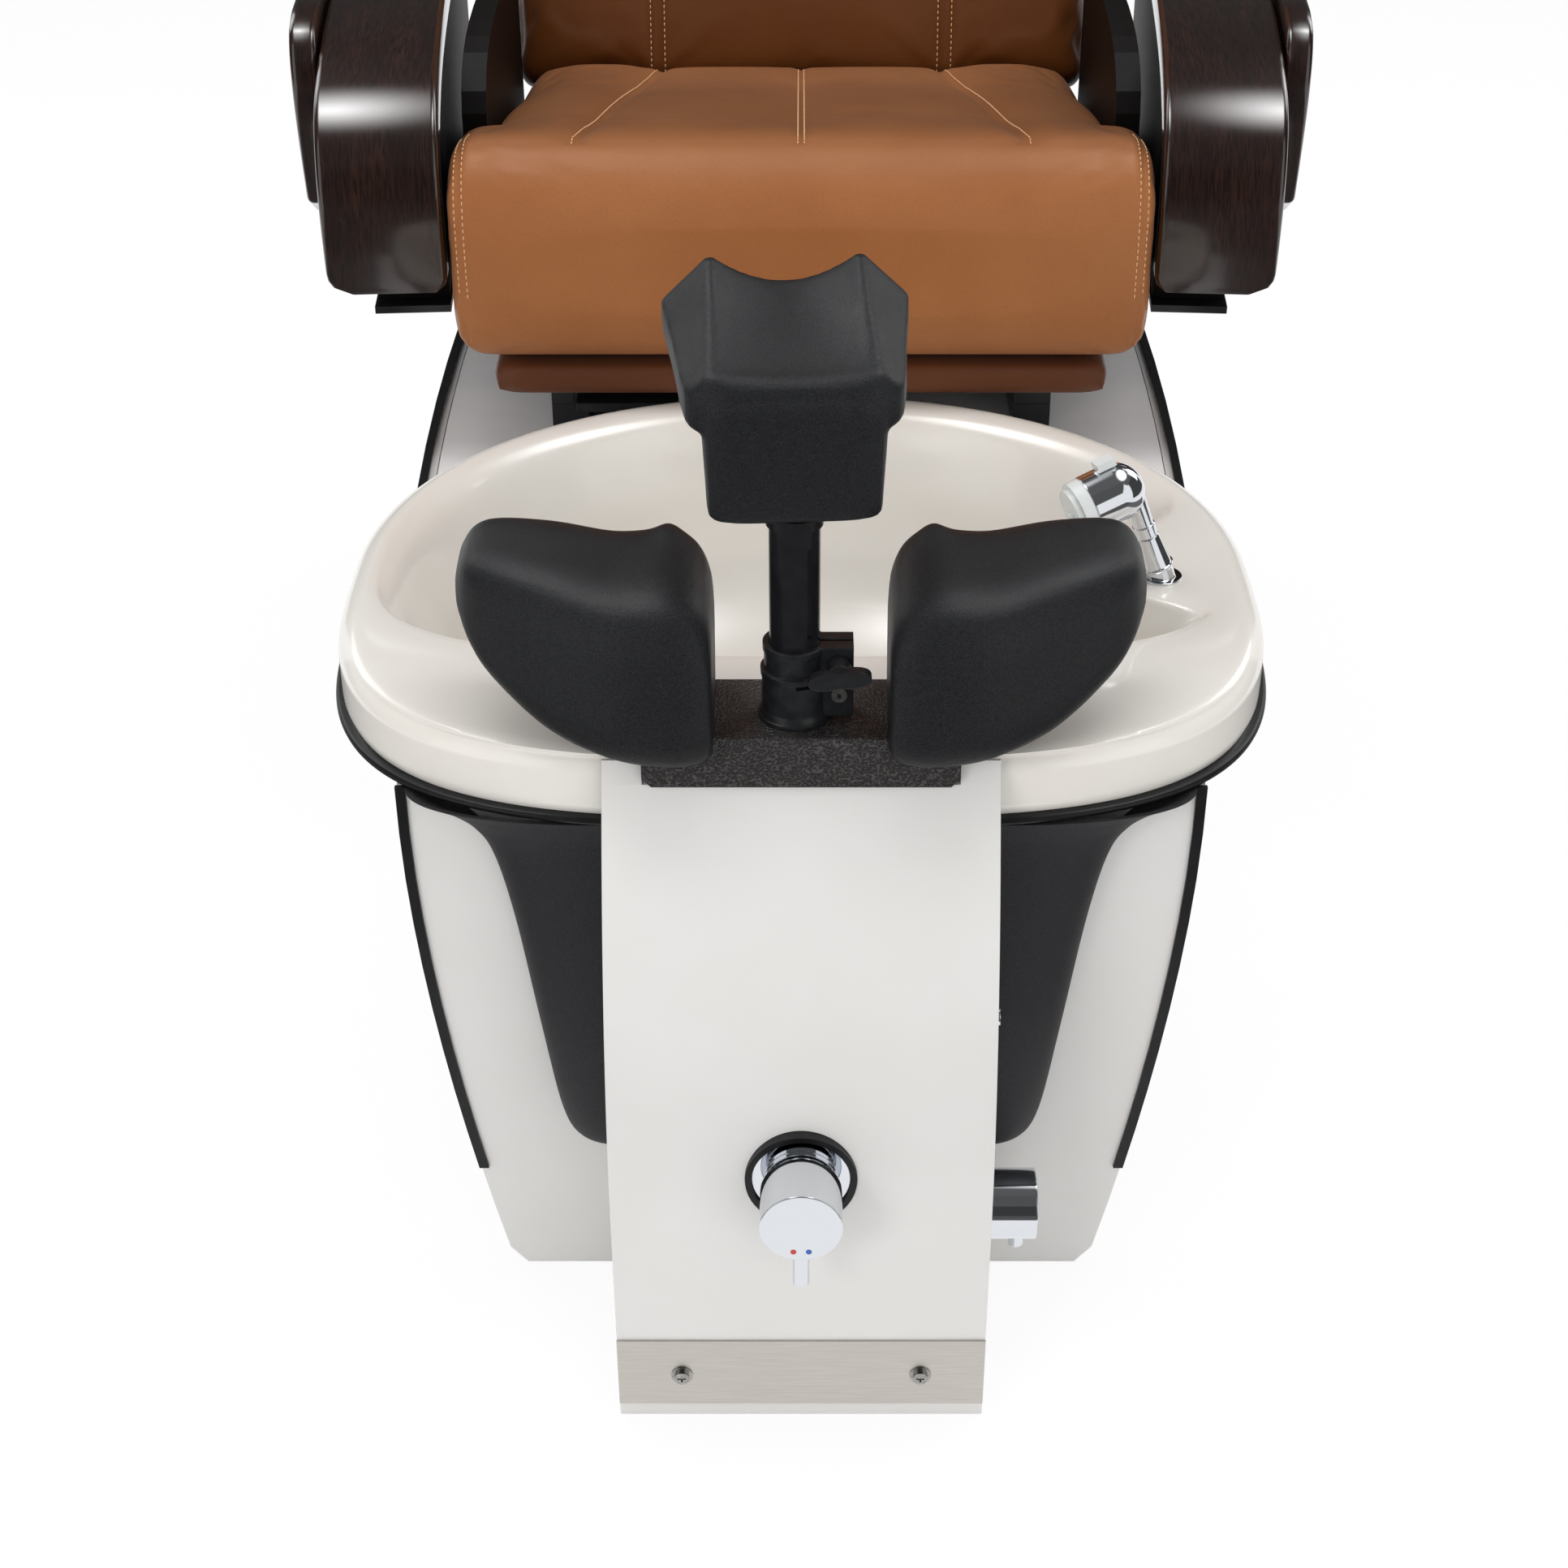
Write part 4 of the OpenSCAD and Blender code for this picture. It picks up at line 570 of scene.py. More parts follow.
def flag(name, size, place, aim, level, edge=None):
    """A grey card that only reflections see. With edge given, its level fades to that at the rim."""
    x, y = size[0] / 2, size[1] / 2
    ob, t, out = card(name, x, y)
    aimed(ob, place, aim)
    glow = t.nodes.new("ShaderNodeEmission")
    glow.inputs["Color"].default_value = (level, level, level, 1)
    glow.inputs["Strength"].default_value = 1.0
    if edge is not None:
        spot = t.nodes.new("ShaderNodeTexCoord")
        fit = t.nodes.new("ShaderNodeMapping")
        fit.inputs["Scale"].default_value = (1 / x, 1 / y, 1)
        fade = t.nodes.new("ShaderNodeTexGradient")
        fade.gradient_type = "QUADRATIC_SPHERE"
        t.links.new(spot.outputs["Object"], fit.inputs["Vector"])
        t.links.new(fit.outputs["Vector"], fade.inputs["Vector"])
        span = calc(t, "MULTIPLY_ADD", fade.outputs["Fac"], (level - edge) / level, edge / level)
        t.links.new(span, glow.inputs["Strength"])
    t.links.new(glow.outputs[0], out)
    for ray in ("camera", "diffuse", "transmission", "shadow", "volume_scatter"):
        setattr(ob, "visible_" + ray, False)


floor()
world()
lamp("key", (-1.4, -2.7, 1.6), (0, -0.2, 0.5), (0.9, 0.9), 16.5, False)
lamp("front", (1.3, -3.2, 1.2), (0, -0.2, 0.5), (2.4, 1.8), 17, False)
lamp("top", (0.0, -0.45, 3.1), (0, -0.1, 0.5), (2.8, 0.6), 27, False)
lamp("back_left", (-2.2, 1.6, 2.0), (0, 0.3, 0.6), (1.4, 1.4), 13)
lamp("back_right", (2.3, 1.5, 2.0), (0, 0.3, 0.6), (1.4, 1.4), 17)
flag("flag_back", (8.0, 4.2), (0, 4.2, 2.2), (0, 0, 0.6), 0.06)
flag("flag_left", (5.5, 5.0), (-4.2, 0.6, 2.3), (0, 0.6, 2.3), 0.06)
flag("flag_right", (5.5, 5.0), (4.2, 0.6, 2.3), (0, 0.6, 2.3), 0.06)
flag("flag_front", (4.6, 2.6), (0.0, -4.8, 1.25), (0, 0, 1.25), 0.05)
flag("flag_high", (4.6, 2.6), (0.0, -3.4, 3.2), (0, -0.2, 0.6), 0.10)
flag("flag_top", (9.0, 4.2), (0.0, -0.7, 4.3), (0, -0.7, 0), 0.12)
flag("flag_over", (3.4, 2.2), (0, 1.9, 3.9), (0, 0.1, 0.6), 0.08)
flag("card_left", (1.6, 2.1), (-0.72, -0.12, 2.3), (-0.72, -0.12, 0), 16.0, 0.12)
flag("card_right", (1.4, 2.1), (0.84, -0.12, 2.3), (0.84, -0.12, 0), 16.0, 0.12)
flag("flag_floor", (3.2, 3.8), (0, -2.95, 0.012), (0, -2.95, 1.0), 0.10)
flag("floor_left", (1.2, 1.4), (-1.0, -0.35, 0.012), (-1.0, -0.35, 1.0), 0.15)
flag("floor_right", (1.2, 1.4), (1.0, -0.35, 0.012), (1.0, -0.35, 1.0), 0.15)


# ---- Sizes shared with the solids, in millimetres ----

# The rim's top and underside, and the deck's top
RIM_TOP, RIM_LOW, DECK = 480.0, 434.0, 428.0
# The basin's middle along y, and its inner floor
RIM_MID, BOWL_Z = -330.0, 300.0
# The cabinet: its front and rear faces, and where it is widest
BOARD_Y, REAR, WIDEST_Y = -568.0, 726.0, 205.0
COLUMN_W = 255.0
# The front of the mixer's handle, on the mixer's axis
MIXER = (0, -767.0, 215)
# The arms: inner and outer face, lower end, top of the bend, and pivot in y and z
ARM_IN, ARM_OUT, ARM_Z = 286.5, 383.5, 578.0
TURN_Z = ARM_Z + 157
PIVOT = (455.0, 748.0)
# The arms spread by this angle about their inner front corners
SPLAY, SPLAY_Y = math.radians(4), -60
# The seat: half width, crease behind the roll, underside and top
SEAT_HALF, CREST = 284.0, -36.0
SEAT_Z, SEAT_TOP = 516.0, 703.0
# The back's hinge, and its lean in degrees
HINGE, LEAN = np.array([0.0, 420.0, 545.0]), 14.0
# Points round the basin
ROUND = 240


def oval(half, fore, aft, ef, ea):
    """A rounded outline: depth and squareness differ between its front and its rear."""
    a = np.arange(ROUND) * 2 * np.pi / ROUND
    e = np.where(np.sin(a) < 0, ef, ea)
    x = half * spow(np.cos(a), 2 / e)
    y = np.where(np.sin(a) < 0, fore, aft) * spow(np.sin(a), 2 / e)
    return np.stack([x, y], 1)


# ---- Basin ----

def basin_ring(half, fore, aft, z, ef, shelf=0.0):
    """A ring of the basin, drawn in on the right by its share of the spray's shelf."""
    plan = oval(half, fore, aft, ef, 2.1)
    a = np.arange(ROUND) * 360.0 / ROUND
    off = np.where(a > 180, a - 360, a) + 3
    draw = 1 - shelf * 0.22 * np.exp(-(off / 17) ** 4)
    return np.stack([plan[:, 0] * draw, RIM_MID + plan[:, 1] * draw, np.full(ROUND, float(z))], 1)


def build_basin():
    """The basin, from its middle out over the rim and back underneath, and the band below the rim."""
    t = RIM_TOP
    # Rows: half width, depth before and behind the middle, height, squareness, share of the shelf
    inner = [
        (3, 3, 3, BOWL_Z, 2), (20, 20, 20, BOWL_Z, 2), (60, 50, 60, BOWL_Z, 2),
        (150, 70, 130, BOWL_Z + 2, 2.2), (205, 100, 185, BOWL_Z + 12, 2.4, 0.2),
        (238, 124, 222, BOWL_Z + 38, 2.6, 0.5), (255, 136, 240, BOWL_Z + 75, 2.8, 0.75),
        (268, 144, 252, BOWL_Z + 120, 3, 0.9), (284, 150, 262, t - 28, 3.2, 1),
        (295, 153, 269, t - 12, 3.2, 1), (305, 157, 276, t - 4, 3.2, 1),
    ]
    over = [
        (311, 163, 284, t - 0.6, 3.2, 0.15), (316, 276, 296, t, 3.2), (325, 285, 305, t - 5, 3.2),
        (329.5, 289.5, 309.5, t - 12, 3.2), (330, 290, 310, t - 20, 3.2),
        (330, 290, 310, RIM_LOW + 6, 3.2),
    ]
    under = [
        (328, 288, 308, RIM_LOW, 3.2), (316, 276, 296, RIM_LOW, 3.2),
        (316, 276, 296, t - 16, 3.2), (313, 168, 288, t - 7, 3.2),
        (301, 159, 275, t - 18, 3.2, 1), (274, 150, 258, BOWL_Z + 120, 3, 0.9),
        (244, 130, 228, BOWL_Z + 34, 2.6, 0.5), (150, 70, 130, BOWL_Z - 6, 2.2),
        (3, 3, 3, BOWL_Z - 6, 2),
    ]
    rings = [*smooth_rows([basin_ring(*row) for row in inner + over], 5)]
    rings += [basin_ring(*row) for row in under]
    ob = loft("basin_shell", rings, "pearl", 60)
    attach(ob, "base")
    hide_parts("basin")

    def band(grow, z):
        p = oval(330 + grow, 290 + grow, 310 + grow, 3.2, 2.1)
        return np.stack([p[:, 0], RIM_MID + p[:, 1], np.full(ROUND, float(z))], 1)

    ring = ring_loft("rim_band", [
        band(-34, 428.2), band(2.5, 428.2), band(4.4, 429.2), band(5, 431), band(4.4, 432.8),
        band(2.5, 433.8), band(-34, 433.8)], "trim_black", 50)
    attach(ring, "base")
    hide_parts("rim_gasket")


# ---- Skirts ----

# Rows: height, half width, reach before the board
SKIRT = [
    [146, 142, 14], [152, 163, 41], [170, 173, 51], [240, 184, 51], [330, 197, 47],
    [383, 209, 45], [406, 223, 45], [420, 243, 47], [427.5, 264, 49],
]


def skirt_line(row, inset, side):
    """A row of a skirt: a quarter round from the column's side out to the board."""
    a = np.radians(np.linspace(0, 90, 41))
    x0 = COLUMN_W / 2 + 0.3
    x = x0 + max(1, row[1] - inset - x0) * spow(np.sin(a), 2 / 2.3)
    y = BOARD_Y - 0.3 - max(1, row[2] - inset) * spow(np.cos(a), 2 / 2.3)
    return np.stack([side * x, y, np.full(41, row[0])], 1)


def build_skirts():
    rows = smooth_rows(SKIRT, 7)
    for side, node in ((1, "right_skirt"), (-1, "left_skirt")):
        ob = thick_grid(node + "_shell", [skirt_line(r, 0, side) for r in rows],
                        [skirt_line(r, 4, side) for r in rows], "skirt_black", 60)
        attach(ob, "base")
        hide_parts(node)


# ---- Column front ----

def column_line(step):
    """The column's side view from the rim to the floor, a step behind its face."""
    pts = curve([-620.5, RIM_TOP - 1], [-650, RIM_TOP - 50], [-716, RIM_TOP - 150], [-722, 180], 60)
    pts = [p + [step * 1.1, -step * 0.4] for p in pts]
    return pts + [np.array([-722 + step, z]) for z in (140.0, 90.0, 40.0, 0.0)]


def build_front_panel():
    """The column's front, with the mixer's hole and the footrest plate's notch cut out."""
    xs = np.array([-127.5, -127.3, -126.6, -60, 0, 60, 126.6, 127.3, 127.5])
    drop = np.array([1.2, 0.5, 0.1, 0, 0, 0, 0.1, 0.5, 1.2])
    outer = [[(x, p[0] + d, p[1]) for x, d in zip(xs, drop)] for p in column_line(0)]
    inner = [[(x, p[0], p[1]) for x in xs] for p in column_line(5)]
    ob = thick_grid("front_panel_shell", outer, inner, "panel_white", 45)
    cutters = [
        turned("cut", [(-760, 0.1), (-760, 37.3), (-680, 37.3), (-680, 0.1)], "panel_white", "y",
               (0, 0, MIXER[2]), 96),
        box("cut2", (-101.8, -632.3, 465.7), (101.8, -616.0, 500.0), "panel_white"),
    ]
    for cutter in cutters:
        b = ob.modifiers.new("cut", "BOOLEAN")
        b.operation, b.solver, b.object = "DIFFERENCE", "EXACT", cutter
        bake(ob)
        bpy.data.objects.remove(cutter)
    shade(ob, True, 35)
    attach(ob, "base")
    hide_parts("front_panel")


# ---- Cabinet sides ----

def side_share(z):
    """How wide the cabinet is at a height, as a share of its width below the deck."""
    return 1 - 0.2 * max(0.0, 1 - z / (DECK - 33)) ** 1.7


def cabinet_half(y):
    """Half the cabinet's width under the deck."""
    if y < WIDEST_Y:
        return 270 + 55 * (1 - (1 - (y - BOARD_Y) / (WIDEST_Y - BOARD_Y)) ** 2)
    return 325 - 30 * ((y - WIDEST_Y) / (REAR - WIDEST_Y)) ** 2


def build_sides():
    ys = np.linspace(BOARD_Y + 14.3, REAR - 14.3, 61)
    zs = np.linspace(3, DECK - 0.3, 41)
    for side, node in ((1, "right_side_panel"), (-1, "left_side_panel")):
        def grid(inset):
            return [[(side * (cabinet_half(y) * side_share(z) - inset), y, z) for z in zs] for y in ys]
        ob = thick_grid(node + "_skin", grid(0), grid(12), "panel_white", 50)
        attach(ob, "base")
        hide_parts(node)


# ---- Arms ----

def arm_line(step):
    """An arm's side view from its lower end round to the pivot, a step inside its outer face."""
    n = 36
    first = curve([-52 + step, ARM_Z], [-66 + step, ARM_Z + 72], [-62 + step, TURN_Z - 23 - step * 0.8],
                  [step * 0.6, TURN_Z - step], n)
    second = curve([step * 0.6 + 4, TURN_Z - step + 1.4], [70, TURN_Z + 25 - step],
                   [200, PIVOT[1] + 27 - step], [PIVOT[0] - 12, PIVOT[1] + 24 - step], n)
    return np.array(first + second)


def turn_flat(co, x0, y0, a):
    """Turns points by the angle a about the upright line at x0, y0."""
    x, y = co[:, 0] - x0, co[:, 1] - y0
    co[:, 0] = x0 + x * math.cos(a) - y * math.sin(a)
    co[:, 1] = y0 + x * math.sin(a) + y * math.cos(a)


def splay(ob, side):
    """Turns an arm's piece about the arm's inner front corner, as the solids are."""
    co = coords(ob) / MM
    turn_flat(co, side * ARM_IN, SPLAY_Y, -side * SPLAY)
    set_coords(ob, co * MM)
    return ob


def build_arms():
    """The bent arms with their drums; corner is the round of the lower outer end."""
    corner = 17
    outer, inner = arm_line(0), arm_line(30)
    for side, node in ((1, "right_arm"), (-1, "left_arm")):
        rings = []
        for o, i in zip(outer, inner):
            h = o[1] - ARM_Z
            cut = corner - math.sqrt(max(0.0, corner ** 2 - (corner - min(h, corner)) ** 2))
            x1 = ARM_OUT - cut
            x0 = ARM_IN + max(0, 8 - h)
            t = (i - o) / np.linalg.norm(i - o)
            depth = np.linalg.norm(i - o)
            r = 5.0
            ring = []
            for cx, cd, a0 in ((x0 + r, r, 180), (x1 - r, r, 270),
                               (x1 - r, depth - r, 0), (x0 + r, depth - r, 90)):
                for a in np.radians(a0 + np.linspace(0, 90, 6)):
                    ring.append((cx + r * math.cos(a), cd + r * math.sin(a)))
            ring = [(side * x, o[0] + t[0] * d, o[1] + t[1] * d) for x, d in ring]
            rings.append(ring)
        band = loft("band", rings, "wood", 55)
        profile = [(ARM_IN + 33, 0.1), (ARM_IN + 33, 23), (ARM_IN + 34, 24),
                   (ARM_OUT - 1, 24), (ARM_OUT, 23), (ARM_OUT, 0.1)]
        drum = turned("drum", profile, "wood", "x", (0, *PIVOT), 64)
        if side < 0:
            set_coords(drum, coords(drum) * [-1, 1, 1])
            turn_outward(drum)
        ob = splay(joined(node + "_wood", [band, drum]), side)
        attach(ob, node)
        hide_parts(node)


def build_cheeks():
    """The outer cheeks, each with the two blocks that carry it."""
    x0 = ARM_OUT + 2
    pz = PIVOT[1]
    outline = np.array(
        curve([60, ARM_Z + 40], [40, ARM_Z + 110], [30, ARM_Z + 160], [60, pz + 16], 20)
        + curve([90, pz + 24], [250, pz + 34], [400, pz + 34], [540, pz + 10], 24)
        + [np.array([560.0, pz - 40]), np.array([540.0, ARM_Z + 20]), np.array([100.0, ARM_Z + 20])])
    parts = []
    for side in (1, -1):
        n = len(outline)
        verts = [(side * x, y, z) for x in (x0, x0 + 22) for y, z in outline]
        faces = [list(range(n)), list(range(n, 2 * n))]
        faces += [[i, (i + 1) % n, n + (i + 1) % n, n + i] for i in range(n)]
        parts.append(splay(bevel(add_mesh("cheek", verts, faces, "wood", True), 5, 4, 40), side))
        for y in (150.0, 340.0):
            near, far = (side * (ARM_IN + 60.3), y, ARM_Z + 30), (side * (x0 + 1), y + 60, ARM_Z + 80)
            parts.append(splay(box("block", near, far, "skirt_black"), side))
    ob = joined("cheeks_wood", parts)
    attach(ob, "seat")
    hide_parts("outer_cheeks")


# ---- Soft goods ----

def cushion_ring(y, half, low, high, radius):
    """A cushion's cross-section: a box with round corners, the same count of points on each."""
    n_top, n_side, n_corner = 44, 8, 7
    r = min(radius, (high - low) / 2 - 0.6)
    w, tall = half - r, high - low - 2 * r

    def corner(cx, cz, start):
        return [(cx + r * math.cos(a), cz + r * math.sin(a))
                for a in np.radians(start + 90 * np.arange(1, n_corner) / n_corner)]

    pts = [(w * (1 - 2 * j / n_top), high) for j in range(n_top + 1)]
    pts += corner(-w, high - r, 90)
    pts += [(-half, high - r - tall * k / n_side) for k in range(n_side + 1)]
    pts += corner(-w, low + r, 180)
    pts += [(-w + 2 * w * j / n_top, low) for j in range(n_top + 1)]
    pts += corner(w, low + r, 270)
    pts += [(half, low + r + tall * k / n_side) for k in range(n_side + 1)]
    pts += corner(w, high - r, 0)
    return [(x, y, z) for x, z in pts]


def cushion(name, rows, steps, radius, mat):
    """A closed form through rows of y, half width, low and high."""
    return loft(name, [cushion_ring(*row, radius) for row in smooth_rows(rows, steps)], mat)


def remesh(ob, voxel):
    m = ob.modifiers.new("remesh", "REMESH")
    m.mode, m.voxel_size = "VOXEL", voxel * MM
    m.use_smooth_shade = True
    bake(ob)


def subdivide(ob):
    m = ob.modifiers.new("sub", "SUBSURF")
    m.levels = m.render_levels = 1
    bake(ob)
    shade(ob)


def dress(ob, mat):
    """Gives a soft form its one material."""
    ob.data.materials.clear()
    ob.data.materials.append(M[mat])
    shade(ob)


def puff(ob, voxel, pressure, frames, cap, held):
    """Remeshes a closed form, then lets air pressure swell its cloth.

    held(co) gives each point's pin weight, and no point moves much past cap, in millimetres."""
    remesh(ob, voxel)
    before = coords(ob)
    weight = held(before / MM)
    g = ob.vertex_groups.new(name="pins")
    for i in np.nonzero(weight > 0.02)[0]:
        g.add([int(i)], float(min(1, weight[i])), "REPLACE")
    c = ob.modifiers.new("cloth", "CLOTH")
    s = c.settings
    s.quality = 4
    s.mass = 0.3
    s.tension_stiffness = s.compression_stiffness = 12.0
    s.shear_stiffness = 6.0
    s.bending_stiffness = 0.6
    s.use_pressure = True
    s.uniform_pressure_force = pressure
    s.effector_weights.gravity = 0
    s.vertex_group_mass = "pins"
    c.collision_settings.use_collision = False
    c.point_cache.frame_start, c.point_cache.frame_end = 1, frames
    for f in range(1, frames + 1):
        scene.frame_set(f)
    bake(ob)
    scene.frame_set(1)
    move = coords(ob) - before
    size = np.linalg.norm(move, axis=1, keepdims=True)
    limit = cap * MM
    move *= np.where(size > limit, limit * np.tanh(size / limit) / np.maximum(size, 1e-9), 1)
    set_coords(ob, before + move)
    ob.vertex_groups.clear()


def relief(ob, height):
    """Moves each point along its normal by height(co, normal), in millimetres."""
    ob.data.update()
    nrm = np.empty(len(ob.data.vertices) * 3)
    ob.data.vertices.foreach_get("normal", nrm)
    nrm = nrm.reshape(-1, 3)
    co = coords(ob)
    set_coords(ob, co + nrm * (height(co / MM, nrm) * MM)[:, None])


def limit_box(ob, lo, hi):
    """Holds a mesh inside a box, in millimetres."""
    set_coords(ob, np.clip(coords(ob), np.array(lo) * MM, np.array(hi) * MM))


def surface(ob):
    """A mesh's surface, to send rays at."""
    return BVHTree.FromPolygons([v.co.copy() for v in ob.data.vertices],
                                [tuple(p.vertices) for p in ob.data.polygons])


def first_hit(tree, src, d):
    """A list with the place in millimetres and the normal where a ray meets a surface, or none."""
    hit, nrm, _, _ = tree.ray_cast(src, d, 1.0)
    return [] if hit is None else [(np.array(hit) / MM, np.array(nrm))]


def drop_on(tree, pts, direction):
    """Points in millimetres sent along a direction onto a surface; misses are left out."""
    d = Vector(direction).normalized()
    out = []
    for p in pts:
        out += first_hit(tree, Vector(p) * MM - d * 0.25, d)
    return out


def stitches(name, lines):
    """Short raised threads along lines of surface points with normals."""
    radius, length, pitch = 0.55, 3.6, 5.4
    # Place along a thread, share of the radius, lift
    rings = ((0, 0.35, -0.25), (0.2, 1.0, 0.15), (0.8, 1.0, 0.15), (1.0, 0.35, -0.25))
    verts, faces = [], []
    for line in lines:
        if len(line) < 2:
            continue
        pts = np.array([p for p, _ in line])
        nrm = np.array([n for _, n in line])
        run = np.concatenate([[0], np.cumsum(np.linalg.norm(np.diff(pts, axis=0), axis=1))])
        for start in np.arange(1.0, run[-1] - length, pitch):
            a = np.array([np.interp(start, run, pts[:, k]) for k in range(3)])
            b = np.array([np.interp(start + length, run, pts[:, k]) for k in range(3)])
            n = np.array([np.interp(start + length / 2, run, nrm[:, k]) for k in range(3)])
            n /= np.linalg.norm(n) + 1e-9
            t = (b - a) / (np.linalg.norm(b - a) + 1e-9)
            side = np.cross(t, n)
            side /= np.linalg.norm(side) + 1e-9
            for f, rr, lift in rings:
                c = a + (b - a) * f + n * lift
                for k in range(6):
                    ang = k * math.pi / 3
                    verts.append(c + radius * rr * (side * math.cos(ang) + n * math.sin(ang)))
            base = len(verts) - 24
            faces += bands(4, 6, 3, base)
            faces.append([base + k for k in range(6)])
            faces.append([base + 18 + k for k in range(6)])
    return add_mesh(name, verts, faces, "thread")


def gauss(d, w):
    """1 in the middle, fading away over the width w."""
    return np.exp(-(d / w) ** 2)


def seam_x(y):
    """How far the seat's side seams stand from the middle."""
    return 178 - 48 * np.clip((y + 20) / 380, 0, 1) ** 0.8


def build_seat():
    nose = -76.0
    inner = 261.0
    rows = [
        [nose + 4, 268, SEAT_Z + 63, SEAT_TOP - 76],
        [nose + 6, 277, SEAT_Z + 34, SEAT_TOP - 48],
        [nose + 18, 282, SEAT_Z + 11, SEAT_TOP - 21],
        [nose + 42, 283, SEAT_Z + 4, SEAT_TOP - 6],
        [nose + 76, 283, SEAT_Z + 3, SEAT_TOP - 6],
        [nose + 110, 281, SEAT_Z + 3, SEAT_TOP - 11],
        [nose + 136, inner + 2, SEAT_Z + 3, SEAT_TOP - 15],
        [nose + 154, inner - 1, SEAT_Z + 3, SEAT_TOP - 16],
        [nose + 230, inner - 1, SEAT_Z + 3, SEAT_TOP - 25],
        [nose + 340, inner - 2, SEAT_Z + 3, SEAT_TOP - 44],
        [nose + 434, inner - 6, SEAT_Z + 6, SEAT_TOP - 57],
        [nose + 446, inner - 12, SEAT_Z + 20, SEAT_TOP - 71],
    ]
    ob = cushion("seat_leather", rows, 4, 25, "leather")

    def held(p):
        x, y, z = p.T
        top = z > SEAT_TOP - 90
        return np.max([
            gauss(x, 5) * (top & (y > CREST)),
            gauss(np.abs(x) - seam_x(y), 5) * (top & (y > CREST)),
            gauss(y - CREST, 6) * (top & (np.abs(x) < 250)) * 0.35,
            (z < SEAT_Z + 8) * 1.0,
            gauss(np.abs(x) - 274, 4) * (y < nose + 60) * 0.6,
        ], 0)

    puff(ob, 6.5, 4.0, 18, 8.0, held)
    subdivide(ob)

    def folds(p, nrm):
        x, y, z = p.T
        top = np.clip((z - (SEAT_TOP - 100)) / 20, 0, 1) * (nrm[:, 2] > 0.1)
        after = np.clip((y - CREST) / 6, 0, 1) * top
        d = -2.4 * gauss(x, 5) * after
        d += -3.0 * gauss(np.abs(x) - seam_x(y), 6) * after
        d += -1.0 * gauss(np.abs(x) - seam_x(y), 16) * after
        d += -1.5 * gauss(y - CREST, 7) * top * (np.abs(x) < 262)
        side = (y < nose + 100) & (nrm[:, 2] > -0.6)
        d += -2.0 * gauss(np.abs(x) - 273, 3.5) * side
        return d

    relief(ob, folds)
    limit_box(ob, (-SEAT_HALF, nose, SEAT_Z - 0.3), (SEAT_HALF, 376, SEAT_TOP + 6))
    dress(ob, "leather_seat")
    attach(ob, "seat")
    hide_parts("seat_cushion")

    tree = surface(ob)
    down = (0, 0, -1)
    lines = []
    for off in (-2.6, 2.6):
        lines.append(drop_on(tree, [(off, y, 700) for y in np.arange(CREST + 3, 370, 3.0)], down))
    for s in (1, -1):
        path = [(s * (seam_x(y) + 5), y, 700) for y in np.arange(CREST + 4, 366, 3.0)]
        lines.append(drop_on(tree, path, down))
        # Beside the roll's end seams, from a round path about the roll's middle
        for off in (-5.2, 3.4):
            x, mid_y, mid_z = s * (273 + off * 0.8), nose + 60, 622
            hits = []
            for t in np.linspace(0, 1, 90):
                a = math.radians(-38 + 150 * t)
                src = Vector((x, mid_y - 200 * math.cos(a), mid_z + 200 * math.sin(a))) * MM
                hits += first_hit(tree, src, (Vector((x, mid_y, mid_z)) * MM - src).normalized())
            lines.append(hits)
    st = stitches("seat_stitching", lines)
    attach(st, "seat")


def build_underpad():
    rows = [
        [-50, 236, 492, 511], [-44, 250, 487, 513.5], [-20, 257, 484.5, 514.5],
        [200, 258, 484.5, 514.5], [362, 256, 484.5, 514.5], [367, 248, 490, 510],
    ]
    ob = cushion("underpad_leather", rows, 8, 13, "leather_dark")
    puff(ob, 7.0, 3.0, 12, 3.0, lambda p: ((p[:, 2] > 511) | (p[:, 2] < 488)) * 1.0)
    limit_box(ob, (-260, -52, 483.4), (260, 369, 515.3))
    dress(ob, "leather_dark")
    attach(ob, "seat")
    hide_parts("seat_underpad")


def at_back(p):
    """From the lying back's frame to the standing one, in millimetres."""
    a = math.radians(90 - LEAN)
    p = np.asarray(p, float)
    y = p[:, 1] * math.cos(a) - p[:, 2] * math.sin(a)
    z = p[:, 1] * math.sin(a) + p[:, 2] * math.cos(a)
    return np.stack([p[:, 0], y, z], 1) + HINGE


